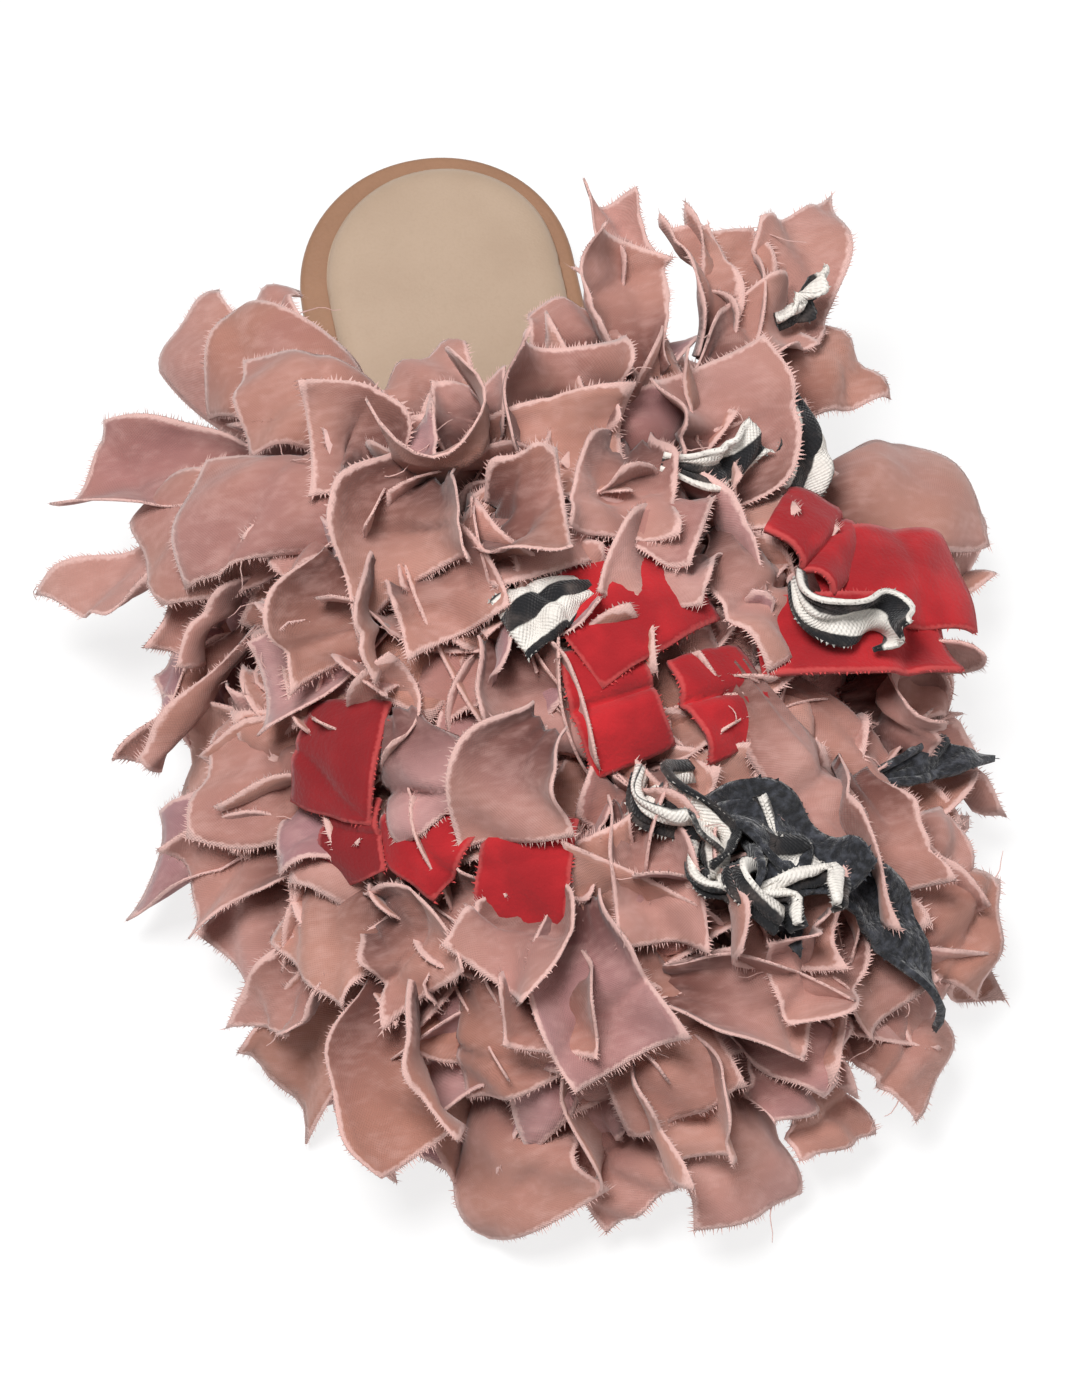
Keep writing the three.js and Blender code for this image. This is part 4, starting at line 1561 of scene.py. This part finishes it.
# Strips of the front half, with x and y read 40 mm above the floor.
FRONT = (
    Strip(COTTON, (42, 159, 50), (74, 157, 42), 29, -15, 4, slant=0.1, tone=0.6),
    # The next two felt strips have high tones, which paint them in shade.
    Strip(FELT, (40, 146, 66), (50, 171, 56), 22, -20, 3, tone=0.9),
    Strip(FELT, (44, 168, 58), (46, 187, 52), 15, -20, 2, tone=1.0),
    Strip(FELT, (22, 170, 66), (38, 187, 58), 20, -20, 3),
    Strip(FELT, (8, 178, 70), (16, 203, 60), 19, -20, 3),
    Strip(COTTON, (54, 180, 36), (82, 182, 26), 23, 60, 4, tone=0.5),
    Strip(COTTON, (54, 192, 32), (78, 203, 18), 22, -20, 3, tone=0.4),
    Strip(COTTON, (40, 187, 48), (63, 206, 38), 28, -20, 4, tone=0.9),
    Strip(COTTON, (52, 202, 34), (71, 219, 24), 23, 60, 3, slant=0.3, tone=0.5),
    Strip(COTTON, (48, 212, 32), (58, 238, 20), 17, -40, 3, tone=0.1),
    Strip(COTTON, (48, 226, 27), (59, 250, 18), 21, -20, 3, tone=0.5),
    Strip(COTTON, (42, 212, 43), (42, 248, 32), 36, 200, 3, tone=0.7),
    Strip(COTTON, (28, 204, 51), (27, 241, 40), 25, -30, 4, tone=0.7),
    Strip(COTTON, (25, 234, 31), (27, 273, 17), 32, -20, 4, tone=0.6),
    Strip(COTTON, (31, 150, 72), (27, 176, 68), 23, -20, 3, tone=0.1),
    Strip(COTTON, (2, 160, 78), (13, 184, 70), 26, 30, 4, tone=0.5),
    Strip(COTTON, (6, 138, 74), (3, 167, 64), 28, 150, 3, tone=0.4),
    Strip(FELT, (-12, 144, 78), (-14, 172, 68), 18, -15, 3),
    Strip(COTTON, (-26, 144, 68), (-27, 168, 62), 24, -90, 3, tone=0.7),
    Strip(FELT, (-33, 150, 70), (-37, 173, 64), 19, -20, 3),
    Strip(COTTON, (-39, 154, 68), (-58, 205, 48), 22, -60, 5, tone=0.5),
    Strip(COTTON, (-44, 156, 58), (-65, 198, 38), 20, -40, 5, tone=0.6),
    Strip(COTTON, (-62, 178, 32), (-72, 161, 52), 40, 240, 2, tone=0.5),
    Strip(WOOL, (-62, 187, 42), (-82, 184, 36), 9, 60, 2, slant=0.6),
    Strip(COTTON, (-55, 184, 50), (-58, 215, 44), 28, 80, 3, slant=0.2, tone=0.6),
    Strip(KNIT, (-24, 178, 64), (-22, 199, 68), 14, 0, 2, roll=72, wave=6),
    Strip(KNIT, (-29, 183, 62), (-45, 201, 62), 10, 0, 2, roll=58, wave=-7),
    Strip(WOOL, (-25, 188, 60), (-47, 209, 62), 19, 90, 3, wave=4),
    Strip(WOOL, (-38, 186, 60), (-31, 212, 60), 15, 70, 3, wave=-3),
    Strip(KNIT, (-27, 194, 66), (-47, 211, 70), 5, 0, 2, roll=78, wave=7),
    Strip(KNIT, (-37, 184, 68), (-34, 213, 70), 5, 0, 2, roll=66, wave=-6),
    Strip(KNIT, (-22, 192, 66), (-38, 214, 68), 4, 0, 3, roll=80, wave=5),
    Strip(KNIT, (-15, 174, 68), (-25, 198, 66), 8, 0, 4, roll=85, wave=3),
    Strip(WOOL, (-40, 202, 56), (-63, 228, 42), 17, 80, 3, slant=0.7),
    Strip(COTTON, (-52, 222, 36), (-80, 230, 24), 26, -20, 4, tone=0.7),
    Strip(COTTON, (-43, 233, 33), (-62, 256, 20), 26, -30, 4, tone=0.6),
    Strip(COTTON, (-9, 223, 50), (-37, 237, 44), 24, 80, 3, tone=0.5),
    Strip(COTTON, (-19, 231, 43), (-41, 247, 36), 20, -40, 3, tone=0.3),
    Strip(COTTON, (-35, 221, 42), (-55, 239, 34), 22, 100, 3, tone=0.6),
    Strip(COTTON, (-10, 180, 64), (-11, 213, 56), 22, 120, 3, tone=0.4),
    Strip(COTTON, (-30, 188, 52), (-29, 223, 54), 38, 160, 3, tone=0.6),
    Strip(COTTON, (4, 200, 60), (2, 237, 52), 28, 95, 3, tone=0.05),
    Strip(COTTON, (-4, 206, 55), (-8, 253, 36), 27, -30, 5, tone=0.6),
    Strip(COTTON, (-7, 212, 49), (-11, 248, 34), 24, -30, 3, tone=0.4),
    Strip(COTTON, (-5, 234, 39), (-6, 263, 28), 34, 270, 2, tone=0.8),
    Strip(COTTON, (-13, 242, 27), (-17, 280, 16), 28, -20, 4, tone=0.5),
    Strip(COTTON, (-29, 238, 29), (-37, 269, 18), 20, -20, 3, tone=0.6),
    Strip(COTTON, (-27, 236, 35), (-31, 259, 28), 22, -80, 3, tone=0.3),
    Strip(COTTON, (-58, 203, 40), (-79, 206, 32), 20, -50, 3, tone=0.5),
    Strip(COTTON, (8, 245, 27), (6, 274, 16), 20, -20, 3, tone=0.5),
    Strip(COTTON, (-60, 168, 42), (-84, 166, 30), 18, -30, 3, tone=0.6),
    Strip(COTTON, (14, 196, 56), (24, 214, 60), 26, 90, 3, tone=0.5),
    Strip(COTTON, (12, 214, 50), (16, 232, 54), 26, 70, 3, tone=0.7),
    Strip(COTTON, (30, 186, 50), (22, 204, 52), 24, 60, 3, tone=0.4),
    Strip(COTTON, (44, 196, 46), (36, 214, 50), 24, 90, 3, tone=0.6),
    Strip(COTTON, (-44, 214, 46), (-30, 226, 54), 24, 70, 3, tone=0.5),
)


@dataclass
class Pompoms:
    """All the strips: those listed in the tables, and those that fill each pompom behind them.

    Attributes:
        pieces: What makes the objects.
        upper: The vamp that the pompoms are sewn to.
        cutter: What makes cloth of the strips.
        sight: The photograph's line of sight.
        rear_plane: Height at which the places of the rear half were read.
        front_plane: Height at which the places of the front half were read.
        rear_fold: How much deeper than tabled the slack strips of the rear half fold.
        front_fold: The same for the front half.
        slack_fold: Up to what tabled arc a cotton strip is slack.
        knot_height: Of a pompom's knot over the vamp.
        knot_reach: How near the vamp a node's points lie that show where its knot is.
        filling: How many strips fill a pompom, at most.
        filling_length: Of such a strip, before chance and lean change it.
        filling_spread: Least share of that length, and what chance adds.
        filling_rise: Share of it that a strip straight off the vamp has, and what lean adds.
        filling_width: Least width of such a strip, and what chance adds.
        filling_cups: Arcs that it may have across.
        filling_bow: Least arch of such a strip, and what chance adds.
        filling_roll: How much the turn of its face varies, in degrees.
        filling_slant: Steepest cut of its end.
        least_lean: Lean of the steepest one, in degrees.
        more_lean: What is added up to the flattest one, in degrees.
        clear_share: Of a listed strip's width, kept clear on each side of its middle.
        felt_clear_share: The same for felt, which shows more.
        clear_more: What is kept clear besides.
        clear_depth: How far nearer to the camera a filler has to be to hide something.
        shortenings: How often a strip that is in the way is cut shorter.
        shorter: What is left of it each time.
        floor_room: Lowest place of a filler's end.
        foot_room: Lowest place of a filler's end over the foot.
        foot_front: How far forward the foot's opening reaches.
        foot_sides: Its inner and its outer side.
        insole_height: Of the pad's top.
        insole_clear: How far fillers stay off the bare insole, in the photograph's view.
        bare_across: First place, end and step over the bare insole from side to side.
        bare_along: The same along it.
    """

    pieces: Pieces
    upper: Upper
    cutter: ClothCutter
    sight: Sight
    rear_plane: float = 60.0
    front_plane: float = 40.0
    rear_fold: float = 1.3
    front_fold: float = 2.2
    slack_fold: float = 80.0
    knot_height: float = 8.0
    knot_reach: float = 6.0
    filling: int = 32
    filling_length: float = 50.0
    filling_spread: tuple = (0.8, 0.35)
    filling_rise: tuple = (0.45, 0.55)
    filling_width: tuple = (19, 9)
    filling_cups: tuple = (-130, -80, 70, 120, 180)
    filling_bow: tuple = (3, 5)
    filling_roll: float = 22.0
    filling_slant: float = 0.25
    least_lean: float = 22.0
    more_lean: float = 84.0
    clear_share: float = 0.25
    felt_clear_share: float = 0.45
    clear_more: float = 4.0
    clear_depth: float = 2.0
    shortenings: int = 4
    shorter: float = 0.8
    floor_room: float = 5.0
    foot_room: float = 62.0
    foot_front: float = 112.0
    foot_sides: tuple = (-40, 36)
    insole_height: float = 21.0
    insole_clear: float = 12.0
    bare_across: tuple = (-14, 30, 7)
    bare_along: tuple = (42, 75, 8)

    def knots(self) -> dict[str, tuple[np.ndarray, np.ndarray]]:
        """Finds each pompom's knot, by its node.

        Returns:
            The knot and the direction off the vamp there, by the node's name.
        """
        share, across = np.meshgrid(np.linspace(0, 1, 30), np.linspace(-0.95, 0.95, 41), indexing="ij")
        skin = self.upper.surface(share, across, 0.0)
        slope = unit(np.cross(np.gradient(skin, axis=0), np.gradient(skin, axis=1)))
        slope = np.where(slope[..., 2:] < 0, -slope, slope).reshape(-1, 3)
        skin = skin.reshape(-1, 3)
        shift = np.array([0.0, self.pieces.shoe.heel_back, 0.0])
        found = {}
        for name in sorted(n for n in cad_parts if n.startswith("pompom_")):
            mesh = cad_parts[name].data
            points = np.empty(len(mesh.vertices) * 3)
            mesh.vertices.foreach_get("co", points)
            points = points.reshape(-1, 3) / MM - shift
            gaps = np.linalg.norm(points[:, None] - skin[None], axis=-1)
            near = gaps.min(1) < self.knot_reach
            middle = points[near].mean(0)
            closest = int(np.linalg.norm(skin - middle, axis=1).argmin())
            found[name] = (skin[closest] + slope[closest] * self.knot_height, slope[closest])
        return found

    def laid(self) -> list[Strip]:
        """Puts the listed strips at their real places.

        Returns:
            The strips.
        """
        strips = []
        halves = ((REAR, self.rear_plane, self.rear_fold), (FRONT, self.front_plane, self.front_fold))
        for rows, plane, fold in halves:
            for row in rows:
                root = self.sight.raised(row.root, plane)
                tip = self.sight.raised(row.tip, plane)
                soft = row.cloth is Cloth.COTTON and abs(row.cup) <= self.slack_fold
                cup = row.cup * fold if soft else row.cup
                strips.append(replace(row, root=root, tip=tip, cup=cup))
        return strips

    def filler(self, knot: np.ndarray, out: np.ndarray, seed: int) -> list[Strip]:
        """Returns strips that fan out of one knot on all its sides.

        Args:
            knot: The knot's middle.
            out: The direction off the vamp.
            seed: Settles what varies.

        Returns:
            The strips.
        """
        dice = np.random.default_rng(seed)
        first = unit(np.cross(out, np.array([0.2, 1.0, 0.1])))
        second = np.cross(out, first)
        narrow, wider = self.filling_width
        short, longer = self.filling_spread
        upright, outspread = self.filling_rise
        flattest, rounder = self.filling_bow
        strips = []
        for k in range(self.filling):
            lean = math.radians(self.least_lean + self.more_lean * math.sqrt((k + 0.5) / self.filling))
            turn = GOLDEN_TURN * k + seed
            flat = first * math.cos(turn) + second * math.sin(turn)
            heading = out * math.cos(lean) + flat * math.sin(lean)
            length = self.filling_length * (short + longer * dice.random())
            length = length * (upright + outspread * math.sin(lean))
            tip = knot + heading * length
            over_foot = tip[1] < self.foot_front and self.foot_sides[0] < tip[0] < self.foot_sides[1]
            tip[2] = max(tip[2], self.foot_room if over_foot else self.floor_room)
            cup = float(dice.choice(self.filling_cups))
            strips.append(
                Strip(
                    Cloth.COTTON,
                    tuple(knot + heading * 3),
                    tuple(tip),
                    narrow + wider * dice.random(),
                    cup,
                    flattest + rounder * dice.random(),
                    roll=float(dice.normal(0, self.filling_roll)),
                    slant=float(dice.uniform(-self.filling_slant, self.filling_slant)),
                    tone=float(dice.random()),
                )
            )
        return strips

    def bare_insole(self) -> np.ndarray:
        """Lists places of the insole that no filling strip may cover in the photograph's view.

        Returns:
            The places.
        """
        across, along = range(*self.bare_across), range(*self.bare_along)
        places = [(x, y, self.insole_height) for x in across for y in along]
        return np.array([self.sight.raised(place, self.rear_plane) for place in places])

    def hides(self, strip: Strip, shown: np.ndarray, reach: np.ndarray) -> bool:
        """Tells whether a strip lies over places that are kept clear.

        Args:
            strip: The strip.
            shown: The points that are kept clear.
            reach: For each of those points, how near the strip's middle may not come.

        Returns:
            True if it comes between one of them and the camera.
        """
        toward = self.sight.toward()
        share = np.linspace(0.4, 1.0, 6)
        chord, face, _ = self.cutter.axes(strip)
        line = np.array(strip.root) + chord * share[:, None]
        line = line + face * (strip.bow * 4 * share * (1 - share))[:, None]
        gaps = line[:, None, :] - shown[None, :, :]
        above = gaps @ toward
        aside = np.linalg.norm(gaps - above[..., None] * toward, axis=-1)
        return bool(((aside < reach) & (above > self.clear_depth)).any())

    def kept_clear(self, laid: Sequence[Strip]) -> tuple[np.ndarray, np.ndarray]:
        """Lists the places that filling strips stay off.

        Args:
            laid: The listed strips.

        Returns:
            Points of those strips and of the bare insole, and how far off each of them to stay.
        """
        share = np.linspace(0.45, 1.0, 4)[:, None]
        ends = [blend(np.array(strip.root), np.array(strip.tip), share) for strip in laid]
        share_of = {cloth: self.clear_share for cloth in Cloth} | {Cloth.FELT: self.felt_clear_share}
        widths = [share_of[strip.cloth] * strip.width + self.clear_more for strip in laid]
        bare = self.bare_insole()
        shown = np.concatenate([*ends, bare])
        return shown, np.concatenate([np.repeat(widths, len(share)), np.full(len(bare), self.insole_clear)])

    def build(self) -> list[bpy.types.Object]:
        """Builds one piece for each pompom's cotton, and one for each other cloth.

        Returns:
            The pieces.
        """
        knots = self.knots()
        names = list(knots)
        laid = self.laid()
        shown, reach = self.kept_clear(laid)
        centres = np.array([knots[name][0] for name in names])
        groups: dict[str, list[dict]] = {name: [] for name in names}
        accents: dict[Cloth, list[dict]] = {Cloth.FELT: [], Cloth.KNIT: [], Cloth.WOOL: []}
        for number, strip in enumerate(laid):
            cut = self.cutter.cut(strip, number, True)
            if strip.cloth is Cloth.COTTON:
                gaps = np.linalg.norm(centres - np.array(strip.root), axis=1)
                groups[names[int(gaps.argmin())]].append(cut)
            else:
                accents[strip.cloth].append(cut)
        for seed, name in enumerate(names):
            for k, strip in enumerate(self.filler(*knots[name], seed)):
                for _ in range(self.shortenings):
                    if not self.hides(strip, shown, reach):
                        number = FIRST_FILLER + FILLERS_APART * seed + k
                        groups[name].append(self.cutter.cut(strip, number, False))
                        break
                    root = np.array(strip.root)
                    tip = root + (np.array(strip.tip) - root) * self.shorter
                    strip = replace(strip, tip=tuple(tip))
        made = [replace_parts(self.join(f"{n}_strips", groups[n], Cloth.COTTON), n) for n in names]
        return made + [self.join(f"{cloth.value}_strips", accents[cloth], cloth) for cloth in accents]

    def join(self, name: str, cuts: Sequence[dict], cloth: Cloth) -> bpy.types.Object:
        """Joins strips of one cloth into a piece.

        Args:
            name: The piece's name.
            cuts: The strips, as the cutter gives them.
            cloth: Their cloth.

        Returns:
            The piece.
        """
        faces: list = []
        start = 0
        for cut in cuts:
            faces += (cut["quads"] + start).tolist()
            faces += (cut["triangles"] + start).tolist()
            start += len(cut["points"])
        both = {key: np.concatenate([cut[key] for cut in cuts]) for key in ("points", "places")}
        marks = {key: np.concatenate([cut[key] for cut in cuts]) for key in ("edge", "tone")}
        return self.pieces.make(
            name, both["points"], faces, [cloth.value], cloth.value, both["places"], marks
        )


@dataclass
class Studio:
    """A plain pale floor, soft light, and the camera at the photograph's angle to the shoe.

    Attributes:
        shoe: Where the shoe stands.
        sight: The photograph's line of sight.
        distance: From the camera to its target.
        target: What camera and lamps look at.
        pixels_per_mm: Scale of the photograph at the target.
        off_centre: Shift of the frame, as a share of its height, so that the one shoe fills it.
        sensor: Height of the sensor.
        floor_size: Side of the floor.
        floor_tones: Its two greys.
        floor_blots: Width of the soft blots between them.
        floor_glow: Light that the floor gives, so that it stays pale as a light table does.
        surround: Strength of the even light from all around.
        surround_tone: Its colour.
        lamps: Each lamp's name, place, size and power in watts.
    """

    shoe: ShoeFrame
    sight: Sight
    distance: float = 1000.0
    target: tuple = (0.0, 125.0, 20.0)
    pixels_per_mm: float = 4.6
    off_centre: tuple = (0.0187, -0.056)
    sensor: float = 36.0
    floor_size: float = 6000.0
    floor_tones: tuple = (0.21, 0.2)
    floor_blots: float = 400.0
    floor_glow: float = 0.8
    surround: float = 0.17
    surround_tone: tuple = (1.0, 0.99, 0.98, 1.0)
    lamps: tuple = (("key", (300, 150, 1600), 560, 27), ("fill", (-1100, 600, 1300), 1400, 6))

    def build(self) -> None:
        """Builds the floor, the lights and the camera."""
        self.floor()
        self.world()
        for lamp in self.lamps:
            self.lamp(*lamp)
        self.camera()

    def point(self, place: Sequence[float]) -> Vector:
        """Returns a place of the shoe's frame in the row frame."""
        return Vector(self.shoe.to_row(np.array(place, float)).tolist())

    def floor(self) -> None:
        """Builds the floor."""
        half = self.floor_size / 2 * MM
        mesh = bpy.data.meshes.new("studio_floor")
        corners = [(-half, -half, 0), (half, -half, 0), (half, half, 0), (-half, half, 0)]
        mesh.from_pydata(corners, [], [(0, 1, 2, 3)])
        floor = bpy.data.objects.new("studio_floor", mesh)
        bpy.context.collection.objects.link(floor)
        shader = Shader("studio_floor")
        light, dark = [(tone, tone, tone, 1) for tone in self.floor_tones]
        paper = shader.mix(shader.noise(self.floor_blots, 2) * 0.3, light, dark)
        glow = {"Emission_Color": (1.0, 1.0, 1.0, 1.0), "Emission_Strength": self.floor_glow}
        mesh.materials.append(shader.dress(Base_Color=paper, Roughness=0.9, **glow))

    def world(self) -> None:
        """Sets an even white surround."""
        world = bpy.data.worlds.new("studio")
        world.use_nodes = True
        background = world.node_tree.nodes["Background"]
        background.inputs["Color"].default_value = self.surround_tone
        background.inputs["Strength"].default_value = self.surround
        bpy.context.scene.world = world
        bpy.context.scene.view_settings.view_transform = "Standard"

    def lamp(self, name: str, place: Sequence[float], size: float, power: float) -> None:
        """Adds a soft square lamp that looks at the shoe.

        Args:
            name: The lamp's name.
            place: Where it hangs, in the shoe's frame.
            size: Its side, in millimetres.
            power: In watts.
        """
        light = bpy.data.lights.new(name, "AREA")
        light.size = size * MM
        light.energy = power
        lamp = bpy.data.objects.new(name, light)
        lamp.location = self.point(place)
        aim = self.point(self.target) - lamp.location
        lamp.rotation_euler = aim.to_track_quat("-Z", "Y").to_euler()
        bpy.context.collection.objects.link(lamp)

    def camera(self) -> None:
        """Places the camera."""
        back = Vector(self.sight.toward().tolist())
        data = bpy.data.cameras.new("photo_camera")
        data.sensor_fit = "VERTICAL"
        data.sensor_height = self.sensor
        data.lens = self.pixels_per_mm * self.distance * data.sensor_height / PHOTO_SIZE[1]
        data.shift_x, data.shift_y = self.off_centre
        camera = bpy.data.objects.new("photo_camera", data)
        target = self.point(self.target)
        camera.location = target + back * (self.distance * MM)
        camera.rotation_euler = (target - camera.location).to_track_quat("-Z", "Y").to_euler()
        bpy.context.collection.objects.link(camera)
        bpy.context.scene.camera = camera


def finishes() -> dict[str, bpy.types.Material]:
    """Makes all the materials.

    Returns:
        The materials, by their short names.
    """
    return {
        Cloth.COTTON.value: CottonFinish().material(),
        Cloth.FELT.value: FeltFinish().material(),
        Cloth.KNIT.value: KnitFinish().material(),
        Cloth.WOOL.value: WoolFinish().material(),
        "rubber": RubberFinish().material(),
        "tan": LeatherFinish("tan_leather", srgb(158, 119, 93), srgb(136, 101, 78)).material(),
        "beige": LeatherFinish(
            "beige_leather", srgb(182, 159, 138), srgb(168, 144, 123), 0.6, 0.46, 0.08
        ).material(),
        "canvas": CanvasFinish("vamp_canvas", srgb(168, 122, 114), srgb(128, 88, 82)).material(),
        "lining": CanvasFinish("vamp_lining", srgb(196, 170, 148), srgb(172, 146, 126), 0.7).material(),
        "tape": CanvasFinish("collar_tape", srgb(190, 146, 138), srgb(158, 114, 108), 0.6).material(),
    }


def main() -> None:
    """Builds the shoe piece by piece, then the studio."""
    logging.basicConfig(level=logging.INFO, format="%(name)s %(message)s")
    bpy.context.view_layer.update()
    shoe = ShoeFrame()
    pieces = Pieces(shoe, finishes())
    plan = SolePlan()
    sole = Sole(plan, pieces)
    sole.outsole()
    sole.footbed()
    sole.pad()
    upper = Upper(plan, pieces)
    upper.build()
    sight = Sight()
    Pompoms(pieces, upper, ClothCutter(), sight).build()
    Studio(shoe, sight).build()


if __name__ == "__main__":
    main()
